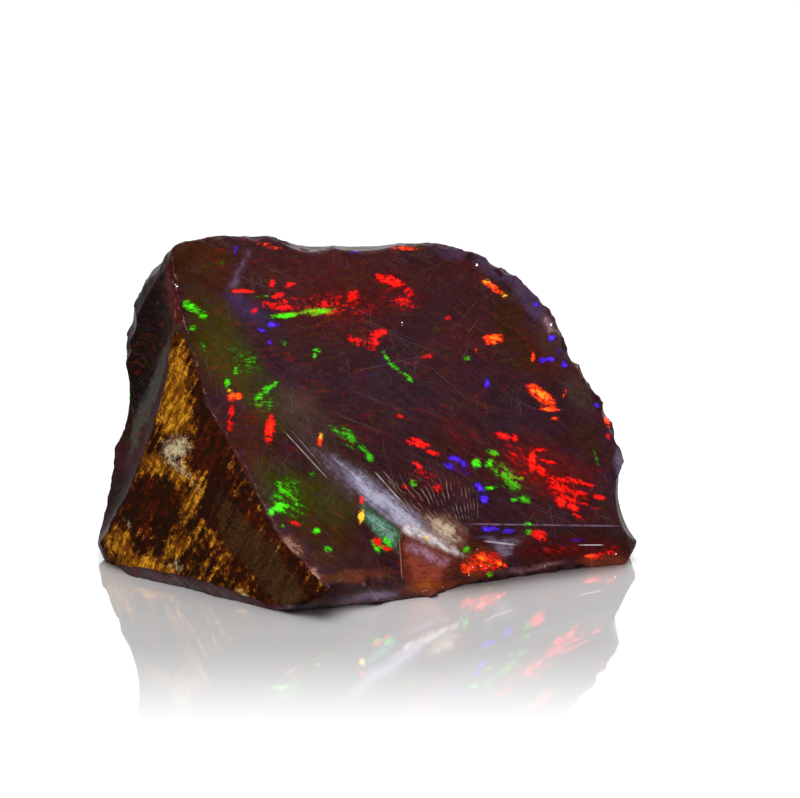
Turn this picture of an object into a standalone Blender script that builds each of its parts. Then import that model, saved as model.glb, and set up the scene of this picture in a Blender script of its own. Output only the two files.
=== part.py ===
"""A rough opal: one hand-sized chunk of dark opal with its ochre rind left on one side.

The chunk is built the way it was made. A block is stretched over named corners, flakes are struck off it
with ellipsoids, small chips are knocked from its rims, and the rind is weathered into lumps and pits.
Lengths are in millimetres until the mesh is scaled. +Z is up, -Y is the front, and the origin is on the
resting face, under the middle of the stone.
"""

import math

import bmesh
import bpy
from mathutils import Matrix, Vector, noise

MM = 0.001
NODE = "rough_opal"

# Corners of the block before anything is struck off it.
CORNERS = {
    "front_foot": (-7.2, -14.0, 0.0),
    "crust_foot": (-19.6, -5.6, 0.0),
    "left_foot": (-22.6, -1.5, 0.0),
    "left_toe": (-23.7, 0.5, 1.4),
    "left_shin": (-22.8, -2.6, 3.4),
    "crust_end": (-2.4, -16.6, 3.0),
    "lip_left": (0.6, -14.5, 2.9),
    "lip_middle": (5.0, -11.4, 0.7),
    "lip_foot": (5.4, -11.0, 0.0),
    "lip_right": (8.4, -8.0, 4.7),
    "ledge_foot": (22.2, -3.0, 0.0),
    "knob": (23.3, -1.5, 1.5),
    "ledge_end": (22.0, -3.0, 3.8),
    "edge_1": (21.8, -1.7, 5.7),
    "edge_2": (22.3, 0.3, 8.8),
    "edge_3": (21.0, 2.5, 12.8),
    "edge_4": (18.5, 4.1, 16.6),
    "edge_5": (16.1, 5.8, 20.8),
    "edge_6": (14.9, 6.3, 22.0),
    "edge_7": (13.4, 6.9, 23.6),
    "edge_8": (10.0, 6.8, 25.5),
    "top_right": (6.1, 6.1, 26.8),
    "top_middle": (-7.6, 1.3, 28.0),
    "top_left": (-12.0, -0.2, 28.5),
    "crown": (-15.7, -1.7, 28.3),
    "shoulder_1": (-18.6, 4.0, 24.3),
    "shoulder_2": (-20.3, 5.0, 21.5),
    "shoulder_3": (-21.2, 6.0, 16.5),
    "back_top_left": (-14.0, 5.5, 26.0),
    "back_top_middle": (-4.0, 9.0, 24.5),
    "back_top_right": (7.0, 10.5, 23.5),
    "back_edge": (13.5, 10.5, 19.5),
    "back_left": (-19.5, 10.0, 12.0),
    "back_middle": (-8.0, 15.5, 14.0),
    "back_right": (8.0, 16.0, 10.0),
    "back_end": (19.0, 11.5, 7.0),
    "back_foot_1": (-19.5, 8.5, 0.0),
    "back_foot_2": (-14.0, 12.5, 0.0),
    "back_foot_3": (-2.0, 15.5, 0.0),
    "back_foot_4": (11.0, 15.0, 0.0),
    "back_foot_5": (20.5, 9.5, 0.0),
    "right_foot": (23.2, 3.0, 0.5),
}

# Each flake scar is the cap of an ellipsoid: the middle of its rim, the way it faces, the way it runs,
# its half length and half width at the rim, and its depth.
SCARS = {
    "upper_flat": ((-12.4, -5.4, 18.9), (-0.10, -0.915, 0.39), (4.2, -3.9, -8.9), 9.0, 5.0, 0.5),
    "crown_flat": ((-13.8, -2.0, 26.4), (0.087, -0.856, 0.508), (1.0, 0.0, -0.2), 4.4, 3.6, 0.3),
    "trough": ((-0.1, -12.1, 5.3), (0.39, -0.626, 0.676), (0.852, -0.034, -0.522), 19.4, 5.2, 1.8),
    "pink_scar": ((5.6, -10.0, 2.8), (0.0, -0.92, 0.40), (0.9, 0.1, 0.0), 3.7, 3.4, 1.0),
    "left_hollow": ((-20.2, 0.0, 12.0), (-0.87, -0.40, 0.25), (-0.42, 0.12, -0.90), 12.0, 4.6, 1.5),
    "waist": ((-21.7, 5.5, 13.0), (-0.97, 0.15, 0.1), (0.0, 0.2, -1.0), 4.8, 4.6, 1.6),
    "neck": ((-20.4, 3.0, 19.6), (-0.93, -0.2, 0.3), (0.3, 0.9, 0.0), 5.0, 1.7, 0.5),
    "right_notch": ((22.3, -0.2, 5.4), (1.0, -0.1, 0.1), (0.1, 1.0, 0.0), 5.0, 2.8, 0.8),
    "ledge_face": ((17.2, -4.8, 2.1), (0.33, -0.93, -0.18), (0.93, 0.35, -0.05), 8.2, 3.3, 0.5),
    "ledge_bite": ((11.0, -6.7, 2.2), (0.30, -0.90, 0.30), (0.9, 0.3, 0.1), 2.4, 1.2, 0.35),
    "top_dip_1": ((-3.8, 3.3, 27.8), (-0.20, 0.1, 1.0), (0.2, 1.0, 0.1), 7.0, 2.7, 1.25),
    "top_dip_2": ((-0.2, 4.6, 27.4), (0.0, 0.1, 1.0), (0.3, 1.0, 0.1), 7.0, 4.2, 1.15),
    "top_dip_3": ((3.6, 5.8, 27.0), (0.0, 0.1, 1.0), (0.3, 1.0, 0.1), 6.0, 2.4, 0.45),
    "back_sweep": ((-12.5, 12.0, 12.0), (-0.50, 0.84, 0.20), (0.3, 0.1, -0.95), 14.0, 8.5, 1.5),
    "back_upper": ((2.0, 12.3, 20.0), (0.02, 0.82, 0.57), (1.0, 0.1, -0.15), 16.0, 7.5, 1.2),
    "back_right": ((14.8, 13.0, 9.0), (0.42, 0.87, 0.26), (-0.5, 0.0, -0.85), 12.0, 7.5, 1.3),
    "back_lower": ((1.0, 15.5, 4.0), (-0.05, 0.99, -0.15), (1.0, 0.0, 0.1), 10.0, 5.0, 0.8),
    "right_end": ((20.5, 6.6, 11.0), (0.88, 0.36, 0.30), (0.3, 0.2, -0.9), 10.0, 5.5, 1.2),
    "right_low": ((22.5, 4.0, 4.0), (0.97, 0.22, -0.05), (0.1, 1.0, 0.1), 6.5, 4.0, 0.8),
    "top_plane": ((-7.0, 5.2, 27.0), (-0.05, 0.38, 0.92), (1.0, 0.25, 0.0), 13.0, 4.4, 0.8),
    "left_back": ((-20.6, 9.0, 7.5), (-0.93, 0.36, 0.10), (0.0, 0.2, -1.0), 9.0, 4.4, 0.9),
    "left_top": ((-16.4, 8.6, 20.5), (-0.60, 0.66, 0.45), (0.5, 0.0, 0.8), 6.5, 3.6, 0.8),
}

# Small chips are caps too, as wide as they are long: the middle, the way each faces, half width and depth.
CHIPS = {
    "rim_1": ((15.9, 6.0, 21.4), (0.80, -0.20, 0.55), 0.9, 0.35),
    "rim_2": ((17.0, 5.2, 19.3), (0.80, -0.25, 0.45), 1.2, 0.50),
    "rim_3": ((18.0, 4.5, 17.5), (0.85, -0.25, 0.40), 1.4, 0.65),
    "rim_4": ((19.5, 3.5, 15.2), (0.85, -0.25, 0.40), 1.3, 0.45),
    "rim_5": ((20.9, 2.3, 12.8), (0.90, -0.25, 0.30), 1.1, 0.30),
    "rim_6": ((13.4, 6.7, 24.0), (0.55, -0.20, 0.80), 1.5, 0.25),
    "rim_7": ((9.2, 6.9, 26.1), (0.30, -0.20, 0.90), 1.6, 0.30),
    "face_1": ((18.4, 2.6, 15.6), (0.55, -0.75, 0.40), 2.0, 0.35),
    "face_2": ((16.4, 4.2, 18.9), (0.50, -0.75, 0.45), 1.5, 0.30),
    "face_3": ((12.2, 5.6, 23.0), (0.40, -0.75, 0.55), 1.8, 0.30),
    "top_1": ((-10.2, 0.9, 28.4), (0.0, 0.0, 1.0), 1.3, 0.25),
    "top_2": ((-6.6, 1.8, 27.5), (0.5, 0.1, 0.8), 1.2, 0.35),
    "shoulder_1": ((-18.3, 2.2, 25.1), (-0.75, -0.2, 0.65), 2.2, 0.45),
    "shoulder_2": ((-20.8, 4.0, 17.7), (-0.95, -0.2, 0.15), 1.3, 0.35),
    "under_1": ((-4.4, -14.8, 0.6), (0.1, -0.75, -0.65), 2.2, 0.75),
    "under_2": ((-0.5, -13.6, 1.6), (0.1, -0.85, -0.50), 2.2, 0.70),
    "under_3": ((3.0, -12.4, 1.1), (0.2, -0.85, -0.50), 1.8, 0.60),
    "ledge_1": ((9.0, -8.2, 0.6), (0.3, -0.80, -0.50), 1.8, 0.60),
    "ledge_2": ((13.2, -6.4, 0.5), (0.3, -0.80, -0.50), 2.2, 0.60),
    "ledge_3": ((18.2, -4.6, 0.5), (0.3, -0.80, -0.50), 2.4, 0.50),
}

BOWL = 0.8  # how far an ellipsoid's centre stands off the rim, as a share of its radius
SHAVE = 0.15  # how much is ground off below for the resting face
CELL = 0.35  # size of the remesh cells that fuse the scars into one skin
TRIANGLES = 9000

# The rind is a skin over two sides of the block: the way each side faces, and how far out its plane lies.
RINDS = {"front_left": ((-0.554, -0.81, 0.193), 15.37), "back": ((-0.10, 0.99, -0.05), 16.0)}
RIND_THICK = 1.4
RIND_LUMPS = ((3.4, 0.30), (1.5, 0.16), (0.9, 0.08))  # size across and height of its lumps
SKIN_WAVES = ((7.0, 0.10), (2.6, 0.04))  # faint swells over the broken faces


def clear_scene():
    for obj in list(bpy.data.objects):
        bpy.data.objects.remove(obj, do_unlink=True)


def block_mesh():
    mesh = bmesh.new()
    for place in CORNERS.values():
        mesh.verts.new(Vector(place) * MM)
    hull = bmesh.ops.convex_hull(mesh, input=mesh.verts)
    bmesh.ops.delete(mesh, geom=hull["geom_interior"], context="VERTS")
    bmesh.ops.recalc_face_normals(mesh, faces=mesh.faces)
    return mesh


def scar_frame(middle, facing, along, depth):
    """Turns +Z to face out of the scar and +X to run along it, about the centre of its ellipsoid."""
    out = Vector(facing).normalized()
    run = Vector(along)
    run = (run - run.dot(out) * out).normalized()
    side = out.cross(run)
    turn = Matrix((run, side, out)).transposed().to_4x4()
    tall = depth / (1 - BOWL)
    centre = Vector(middle) + out * tall * BOWL
    return Matrix.Translation(centre * MM) @ turn, tall


def flake_cutter(name, scar, collection, detail):
    middle, facing, along, half_length, half_width, depth = scar
    frame, tall = scar_frame(middle, facing, along, depth)
    spread = 1 / math.sqrt(1 - BOWL**2)
    radii = (half_length * spread, half_width * spread, tall)
    mesh = bmesh.new()
    bmesh.ops.create_icosphere(mesh, subdivisions=detail, radius=1.0)
    size = Matrix.Diagonal(Vector(radii) * MM).to_4x4()
    bmesh.ops.transform(mesh, matrix=frame @ size, verts=mesh.verts)
    data = bpy.data.meshes.new(name)
    mesh.to_mesh(data)
    mesh.free()
    cutter = bpy.data.objects.new(name, data)
    cutter.hide_render = True
    cutter.display_type = "WIRE"
    collection.objects.link(cutter)
    return cutter


def strike(stone, cutter):
    cut = stone.modifiers.new("strike_" + cutter.name, "BOOLEAN")
    cut.operation = "DIFFERENCE"
    cut.solver = "EXACT"
    cut.object = cutter


def settle(stone):
    """Bakes the modifiers so far into the mesh."""
    graph = bpy.context.evaluated_depsgraph_get()
    baked = bpy.data.meshes.new_from_object(stone.evaluated_get(graph), depsgraph=graph)
    stone.modifiers.clear()
    old = stone.data
    stone.data = baked
    bpy.data.meshes.remove(old)
    baked.name = NODE


def fuse(stone):
    skin = stone.modifiers.new("fuse", "REMESH")
    skin.mode = "VOXEL"
    skin.voxel_size = CELL * MM
    skin.adaptivity = 0.0
    settle(stone)


def swell(place, waves, offset):
    height = 0.0
    for across, rise in waves:
        height += rise * noise.noise((place + Vector((offset, offset, offset))) / across)
    return height


def rind_share(place):
    """1 where the rind lies, 0 on bare opal, with a frayed border about a millimetre wide."""
    fray = 0.5 * noise.noise(place / 2.2)
    share = 0.0
    for facing, reach in RINDS.values():
        depth = reach - place.dot(Vector(facing).normalized())
        share = max(share, RIND_THICK + fray - depth)
    return min(share, 1.0)


def weather(stone):
    mesh = bmesh.new()
    mesh.from_mesh(stone.data)
    mesh.normal_update()
    moves = []
    for vert in mesh.verts:
        place = vert.co / MM
        share = rind_share(place)
        lumps = swell(place, RIND_LUMPS, 31.0)
        pits = -0.25 * max(noise.noise(place / 1.9 + Vector((9.0, 4.0, 2.0))) - 0.25, 0.0)
        faint = swell(place, SKIN_WAVES, 7.0)
        moves.append(vert.normal * (share * (lumps + pits) + (1 - share) * faint) * MM)
    for vert, move in zip(mesh.verts, moves):
        vert.co += move
    mesh.to_mesh(stone.data)
    mesh.free()


def thin_out(stone):
    faces = sum(len(face.vertices) - 2 for face in stone.data.polygons)
    fewer = stone.modifiers.new("thin_out", "DECIMATE")
    fewer.decimate_type = "COLLAPSE"
    fewer.ratio = min(TRIANGLES / faces, 1.0)
    settle(stone)


def grind_base(stone):
    """Cuts the resting face flat and moves the origin to it, under the middle of the stone."""
    mesh = bmesh.new()
    mesh.from_mesh(stone.data)
    whole = list(mesh.verts) + list(mesh.edges) + list(mesh.faces)
    level = Vector((0.0, 0.0, SHAVE * MM))
    down = Vector((0.0, 0.0, -1.0))
    cut = bmesh.ops.bisect_plane(mesh, geom=whole, plane_co=level, plane_no=down, clear_outer=True)
    rim = [item for item in cut["geom_cut"] if isinstance(item, bmesh.types.BMEdge)]
    bmesh.ops.holes_fill(mesh, edges=rim, sides=0)
    bmesh.ops.remove_doubles(mesh, verts=mesh.verts, dist=0.00002)
    bmesh.ops.triangulate(mesh, faces=mesh.faces)
    bmesh.ops.recalc_face_normals(mesh, faces=mesh.faces)
    lows = [min(vert.co[axis] for vert in mesh.verts) for axis in range(3)]
    highs = [max(vert.co[axis] for vert in mesh.verts) for axis in range(3)]
    middle = Vector(((lows[0] + highs[0]) / 2, (lows[1] + highs[1]) / 2, lows[2]))
    bmesh.ops.translate(mesh, vec=-middle, verts=mesh.verts)
    for face in mesh.faces:
        face.smooth = face.normal.z > -0.99
    mesh.to_mesh(stone.data)
    mesh.free()
    return middle


def paint(name, colour, roughness):
    material = bpy.data.materials.new(name)
    material.use_nodes = True
    surface = material.node_tree.nodes["Principled BSDF"]
    surface.inputs["Base Color"].default_value = (*colour, 1.0)
    surface.inputs["Roughness"].default_value = roughness
    surface.inputs["Metallic"].default_value = 0.0
    return material


def main():
    clear_scene()
    collection = bpy.data.collections.new(NODE)
    flakes = bpy.data.collections.new("flakes")
    bpy.context.scene.collection.children.link(collection)
    bpy.context.scene.collection.children.link(flakes)
    data = bpy.data.meshes.new(NODE)
    mesh = block_mesh()
    mesh.to_mesh(data)
    mesh.free()
    stone = bpy.data.objects.new(NODE, data)
    collection.objects.link(stone)
    for name, scar in SCARS.items():
        strike(stone, flake_cutter(name, scar, flakes, 4))
    for name, (middle, facing, half, depth) in CHIPS.items():
        along = (0.0, 1.0, 0.3)
        strike(stone, flake_cutter("chip_" + name, (middle, facing, along, half, half, depth), flakes, 3))
    settle(stone)
    fuse(stone)
    weather(stone)
    thin_out(stone)
    middle = grind_base(stone)
    for cutter in flakes.objects:
        cutter.data.transform(Matrix.Translation(-middle))
    stone.data.materials.clear()
    stone.data.materials.append(paint("opal_body", (0.045, 0.012, 0.012), 0.2))
    return stone


main()
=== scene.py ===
import math

import bmesh
import bpy
import numpy as np
from mathutils import Matrix, Vector, noise


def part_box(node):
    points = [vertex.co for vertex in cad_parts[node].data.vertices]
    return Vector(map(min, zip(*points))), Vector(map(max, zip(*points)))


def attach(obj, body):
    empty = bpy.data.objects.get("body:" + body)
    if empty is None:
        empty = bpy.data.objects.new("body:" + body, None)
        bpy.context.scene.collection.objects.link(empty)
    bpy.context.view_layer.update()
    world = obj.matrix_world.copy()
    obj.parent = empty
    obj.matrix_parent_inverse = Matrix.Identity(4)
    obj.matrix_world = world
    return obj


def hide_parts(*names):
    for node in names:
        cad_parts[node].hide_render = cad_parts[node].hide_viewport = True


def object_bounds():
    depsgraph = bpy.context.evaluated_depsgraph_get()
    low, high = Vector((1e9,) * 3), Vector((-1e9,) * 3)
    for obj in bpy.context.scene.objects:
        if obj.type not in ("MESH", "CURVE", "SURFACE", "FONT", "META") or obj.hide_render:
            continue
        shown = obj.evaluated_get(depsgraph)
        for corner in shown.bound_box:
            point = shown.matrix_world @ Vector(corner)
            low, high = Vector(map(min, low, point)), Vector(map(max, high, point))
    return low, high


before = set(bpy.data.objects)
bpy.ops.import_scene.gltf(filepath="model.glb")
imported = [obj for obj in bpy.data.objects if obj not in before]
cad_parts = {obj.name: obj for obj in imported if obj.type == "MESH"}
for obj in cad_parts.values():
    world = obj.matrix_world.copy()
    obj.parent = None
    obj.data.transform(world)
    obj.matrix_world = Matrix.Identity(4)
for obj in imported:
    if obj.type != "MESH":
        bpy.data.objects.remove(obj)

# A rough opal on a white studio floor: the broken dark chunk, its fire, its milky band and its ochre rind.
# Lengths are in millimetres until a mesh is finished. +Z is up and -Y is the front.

mm = 0.001
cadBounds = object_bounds()
stoneLow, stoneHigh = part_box("rough_opal")

# Where the photograph was taken from. Pixels are those of its 800 by 798 frame.
photoView = {
    "lens": 100.0,
    "sensor": 36.0,
    "elevation": 15.0,
    "distance": 190.0,
    "aim": (2.94, 0.05, 14.05),
    "widthInPixels": 800,
    "middleInPixels": (400, 399),
}

# The block before anything is struck off it, as the solid in the part's source has it.
blockCorners = {
    "frontFoot": (-7.2, -14.0, 0.0), "crustFoot": (-19.6, -5.6, 0.0), "leftFoot": (-22.6, -1.5, 0.0),
    "leftToe": (-23.7, 0.5, 1.4), "leftShin": (-22.8, -2.6, 3.4), "crustEnd": (-2.4, -16.6, 3.0),
    "lipLeft": (0.6, -14.5, 2.9), "lipMiddle": (5.0, -11.4, 0.7), "lipFoot": (5.4, -11.0, 0.0),
    "lipRight": (8.4, -8.0, 4.7), "ledgeFoot": (22.2, -3.0, 0.0), "knob": (23.3, -1.5, 1.5),
    "ledgeEnd": (22.0, -3.0, 3.8), "edge1": (21.8, -1.7, 5.7), "edge2": (22.3, 0.3, 8.8),
    "edge3": (21.0, 2.5, 12.8), "edge4": (18.5, 4.1, 16.6), "edge5": (16.1, 5.8, 20.8),
    "edge6": (14.9, 6.3, 22.0), "edge7": (13.4, 6.9, 23.6), "edge8": (10.0, 6.8, 25.5),
    "topRight": (6.1, 6.1, 26.8), "topMiddle": (-7.6, 1.3, 28.0), "topLeft": (-12.0, -0.2, 28.5),
    "crown": (-15.7, -1.7, 28.3), "shoulder1": (-18.6, 4.0, 24.3), "shoulder2": (-20.3, 5.0, 21.5),
    "shoulder3": (-21.2, 6.0, 16.5), "backTopLeft": (-14.0, 5.5, 26.0), "backTopMiddle": (-4.0, 9.0, 24.5),
    "backTopRight": (7.0, 10.5, 23.5), "backEdge": (13.5, 10.5, 19.5), "backLeft": (-19.5, 10.0, 12.0),
    "backMiddle": (-8.0, 15.5, 14.0), "backRight": (8.0, 16.0, 10.0), "backEnd": (19.0, 11.5, 7.0),
    "backFoot1": (-19.5, 8.5, 0.0), "backFoot2": (-14.0, 12.5, 0.0), "backFoot3": (-2.0, 15.5, 0.0),
    "backFoot4": (11.0, 15.0, 0.0), "backFoot5": (20.5, 9.5, 0.0), "rightFoot": (23.2, 3.0, 0.5),
}

# Each flake scar: the middle of its rim, the way it faces, the way it runs, half length, half width, depth.
flakeScars = {
    "upperFlat": ((-12.4, -5.4, 18.9), (-0.10, -0.915, 0.39), (4.2, -3.9, -8.9), 9.0, 5.0, 0.5),
    "crownFlat": ((-13.8, -2.0, 26.4), (0.087, -0.856, 0.508), (1.0, 0.0, -0.2), 4.4, 3.6, 0.3),
    "trough": ((-0.1, -12.1, 5.3), (0.39, -0.626, 0.676), (0.852, -0.034, -0.522), 19.4, 5.2, 1.8),
    "pinkScar": ((5.6, -10.0, 2.8), (0.0, -0.92, 0.40), (0.9, 0.1, 0.0), 3.7, 3.4, 1.0),
    "leftHollow": ((-20.2, 0.0, 12.0), (-0.87, -0.40, 0.25), (-0.42, 0.12, -0.90), 12.0, 4.6, 1.5),
    "waist": ((-21.7, 5.5, 13.0), (-0.97, 0.15, 0.1), (0.0, 0.2, -1.0), 4.8, 4.6, 1.6),
    "neck": ((-20.4, 3.0, 19.6), (-0.93, -0.2, 0.3), (0.3, 0.9, 0.0), 5.0, 1.7, 0.5),
    "rightNotch": ((22.3, -0.2, 5.4), (1.0, -0.1, 0.1), (0.1, 1.0, 0.0), 5.0, 2.8, 0.8),
    "ledgeFace": ((17.2, -4.8, 2.1), (0.33, -0.93, -0.18), (0.93, 0.35, -0.05), 8.2, 3.3, 0.5),
    "ledgeBite": ((11.0, -6.7, 2.2), (0.30, -0.90, 0.30), (0.9, 0.3, 0.1), 2.4, 1.2, 0.35),
    "topDip1": ((-3.8, 3.3, 27.8), (-0.20, 0.1, 1.0), (0.2, 1.0, 0.1), 7.0, 2.7, 1.25),
    "topDip2": ((-0.2, 4.6, 27.4), (0.0, 0.1, 1.0), (0.3, 1.0, 0.1), 7.0, 4.2, 1.15),
    "topDip3": ((3.6, 5.8, 27.0), (0.0, 0.1, 1.0), (0.3, 1.0, 0.1), 6.0, 2.4, 0.45),
    "backSweep": ((-12.5, 12.0, 12.0), (-0.50, 0.84, 0.20), (0.3, 0.1, -0.95), 14.0, 8.5, 1.5),
    "backUpper": ((2.0, 12.3, 20.0), (0.02, 0.82, 0.57), (1.0, 0.1, -0.15), 16.0, 7.5, 1.2),
    "backRight": ((14.8, 13.0, 9.0), (0.42, 0.87, 0.26), (-0.5, 0.0, -0.85), 12.0, 7.5, 1.3),
    "backLower": ((1.0, 15.5, 4.0), (-0.05, 0.99, -0.15), (1.0, 0.0, 0.1), 10.0, 5.0, 0.8),
    "rightEnd": ((20.5, 6.6, 11.0), (0.88, 0.36, 0.30), (0.3, 0.2, -0.9), 10.0, 5.5, 1.2),
    "rightLow": ((22.5, 4.0, 4.0), (0.97, 0.22, -0.05), (0.1, 1.0, 0.1), 6.5, 4.0, 0.8),
    "topPlane": ((-7.0, 5.2, 27.0), (-0.05, 0.38, 0.92), (1.0, 0.25, 0.0), 13.0, 4.4, 0.8),
    "leftBack": ((-20.6, 9.0, 7.5), (-0.93, 0.36, 0.10), (0.0, 0.2, -1.0), 9.0, 4.4, 0.9),
    "leftTop": ((-16.4, 8.6, 20.5), (-0.60, 0.66, 0.45), (0.5, 0.0, 0.8), 6.5, 3.6, 0.8),
}

# Each chip: its middle, the way it faces, half width and depth.
rimChips = {
    "rim1": ((15.9, 6.0, 21.4), (0.80, -0.20, 0.55), 0.9, 0.35),
    "rim2": ((17.0, 5.2, 19.3), (0.80, -0.25, 0.45), 1.2, 0.50),
    "rim3": ((18.0, 4.5, 17.5), (0.85, -0.25, 0.40), 1.4, 0.65),
    "rim4": ((19.5, 3.5, 15.2), (0.85, -0.25, 0.40), 1.3, 0.45),
    "rim5": ((20.9, 2.3, 12.8), (0.90, -0.25, 0.30), 1.1, 0.30),
    "rim6": ((13.4, 6.7, 24.0), (0.55, -0.20, 0.80), 1.5, 0.25),
    "rim7": ((9.2, 6.9, 26.1), (0.30, -0.20, 0.90), 1.6, 0.30),
    "face1": ((18.4, 2.6, 15.6), (0.55, -0.75, 0.40), 2.0, 0.35),
    "face2": ((16.4, 4.2, 18.9), (0.50, -0.75, 0.45), 1.5, 0.30),
    "face3": ((12.2, 5.6, 23.0), (0.40, -0.75, 0.55), 1.8, 0.30),
    "top1": ((-10.2, 0.9, 28.4), (0.0, 0.0, 1.0), 1.3, 0.25),
    "top2": ((-6.6, 1.8, 27.5), (0.5, 0.1, 0.8), 1.2, 0.35),
    "shoulder1": ((-18.3, 2.2, 25.1), (-0.75, -0.2, 0.65), 2.2, 0.45),
    "shoulder2": ((-20.8, 4.0, 17.7), (-0.95, -0.2, 0.15), 1.3, 0.35),
    "under1": ((-4.4, -14.8, 0.6), (0.1, -0.75, -0.65), 2.2, 0.75),
    "under2": ((-0.5, -13.6, 1.6), (0.1, -0.85, -0.50), 2.2, 0.70),
    "under3": ((3.0, -12.4, 1.1), (0.2, -0.85, -0.50), 1.8, 0.60),
    "ledge1": ((9.0, -8.2, 0.6), (0.3, -0.80, -0.50), 1.8, 0.60),
    "ledge2": ((13.2, -6.4, 0.5), (0.3, -0.80, -0.50), 2.2, 0.60),
    "ledge3": ((18.2, -4.6, 0.5), (0.3, -0.80, -0.50), 2.4, 0.50),
}

# Rims along which small nicks are knocked off, as runs of the block's corners.
nickedRims = {
    "topEdge": ("crown", "topLeft", "topMiddle", "topRight", "edge8"),
    "rightEdge": ("edge8", "edge7", "edge5", "edge4", "edge3", "edge2", "edge1"),
    "ledgeRim": ("lipFoot", "ledgeFoot"),
    "leftEdge": ("crown", "shoulder1", "shoulder2", "shoulder3"),
    "backRidge": ("backTopLeft", "backTopMiddle", "backTopRight", "backEdge", "backEnd"),
    "backRib": ("backTopMiddle", "backMiddle", "backFoot3"),
    "leftRib": ("shoulder3", "backLeft", "backFoot1"),
    "rightRib": ("backEdge", "edge4"),
}

stoneMake = {
    "bowl": 0.8,  # how far an ellipsoid's centre stands off the rim, as a share of its radius
    "shave": 0.15,  # ground off below for the resting face
    "cell": (0.27, 0.5),
    "flakeDetail": (5, 4),
    "chipDetail": 3,
    "rinds": {"frontLeft": ((-0.554, -0.81, 0.193), 15.37), "back": ((-0.10, 0.99, -0.05), 16.0)},
    "rindThick": 1.4,
    "rindFray": (2.2, 0.5),  # size across and reach of the swing in the rind's border
    "rindPits": (1.9, 0.25, 0.30),  # size across, level at which a pit starts, depth
    "rindLumps": ((3.4, 0.30), (1.5, 0.16), (0.9, 0.10), (0.6, 0.06)),  # size across and height
    "skinWaves": ((7.0, 0.10), (2.6, 0.04)),
    "scarReach": 0.13,  # skin this near to a scar's ellipsoid is set on it
    "ripple": (1.7, 0.012),  # spacing and height of the shock rings in a flake scar
    "rippleDrift": (1.5, 2.3),  # how far the rings stray, and over what length
    "blowAway": 1.3,  # where the blow fell, from the middle of the scar, in half lengths
    "nickSpacing": 1.0,
    "nickSize": (0.15, 0.5),
    "nickGrowth": {"rightEdge": 1.7, "topEdge": 0.8},
    "nickFrom": (0.0, 1.0, 12.0),  # nicks face away from here, more or less
    "nickLean": 0.45,
    "nickStretch": (1.0, 1.9),
    "nickDepth": 0.42,  # as a share of the half width
    "nickSink": 0.05,
    "smoothing": 0.35,
    "weld": 0.02,  # points nearer than this on the ground base are joined
    "baseFacing": -0.99,  # faces that look down more than this stay flat
    "seed": 11,
}


class Sight:
    # Turns pixels and points into millimetres on the plane that the camera aims at
    def __init__(self, view):
        lean = math.radians(view["elevation"])
        self.right = np.array((1.0, 0.0, 0.0))
        self.up = np.array((0.0, math.sin(lean), math.cos(lean)))
        self.ahead = np.array((0.0, math.cos(lean), -math.sin(lean)))
        self.place = np.array(view["aim"]) - view["distance"] * self.ahead
        self.distance = view["distance"]
        self.middle = view["middleInPixels"]
        self.pixel = view["distance"] * view["sensor"] / view["lens"] / view["widthInPixels"]

    def fromPixel(self, across, down):
        return (across - self.middle[0]) * self.pixel, (self.middle[1] - down) * self.pixel

    def fromPoints(self, points):
        rays = points - self.place
        depth = rays @ self.ahead
        return rays @ self.right * self.distance / depth, rays @ self.up * self.distance / depth

    def facing(self, points, normals):
        rays = self.place - points
        rays /= np.linalg.norm(rays, axis=1, keepdims=True)
        return np.sum(rays * normals, axis=1)


sight = Sight(photoView)


def objectFrom(name, mesh):
    data = bpy.data.meshes.new(name)
    mesh.to_mesh(data)
    mesh.free()
    made = bpy.data.objects.new(name, data)
    bpy.context.scene.collection.objects.link(made)
    return made


def blockMesh():
    mesh = bmesh.new()
    for place in blockCorners.values():
        mesh.verts.new(Vector(place) * mm)
    hull = bmesh.ops.convex_hull(mesh, input=mesh.verts)
    bmesh.ops.delete(mesh, geom=hull["geom_interior"], context="VERTS")
    bmesh.ops.recalc_face_normals(mesh, faces=mesh.faces)
    return mesh


def capFrame(middle, facing, along, halfLength, halfWidth, depth):
    # The ellipsoid behind a scar: its centre, its axes as columns, and its radii
    out = Vector(facing).normalized()
    run = Vector(along)
    run = (run - run.dot(out) * out).normalized()
    axes = Matrix((run, out.cross(run), out)).transposed()
    tall = depth / (1 - stoneMake["bowl"])
    spread = 1 / math.sqrt(1 - stoneMake["bowl"] ** 2)
    centre = Vector(middle) + out * tall * stoneMake["bowl"]
    return centre, axes, Vector((halfLength * spread, halfWidth * spread, tall))


def chipScar(chip):
    middle, facing, half, depth = chip
    return middle, facing, (0.0, 1.0, 0.3), half, half, depth


def strikeOff(stone, name, scar, detail):
    centre, axes, radii = capFrame(*scar)
    mesh = bmesh.new()
    bmesh.ops.create_icosphere(mesh, subdivisions=detail, radius=1.0)
    size = Matrix.Diagonal(radii * mm).to_4x4()
    place = Matrix.Translation(centre * mm) @ axes.to_4x4() @ size
    bmesh.ops.transform(mesh, matrix=place, verts=mesh.verts)
    cutter = objectFrom(name, mesh)
    cut = stone.modifiers.new(name, "BOOLEAN")
    cut.operation = "DIFFERENCE"
    cut.solver = "EXACT"
    cut.object = cutter
    return cutter


def settle(stone):
    # Bakes the modifiers so far into the mesh
    graph = bpy.context.evaluated_depsgraph_get()
    baked = bpy.data.meshes.new_from_object(stone.evaluated_get(graph), depsgraph=graph)
    stone.modifiers.clear()
    old = stone.data
    stone.data = baked
    bpy.data.meshes.remove(old)


def readPoints(mesh):
    points = np.empty(len(mesh.vertices) * 3)
    mesh.vertices.foreach_get("co", points)
    normals = np.empty(len(mesh.vertices) * 3)
    mesh.vertices.foreach_get("normal", normals)
    return points.reshape(-1, 3) / mm, normals.reshape(-1, 3)


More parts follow.
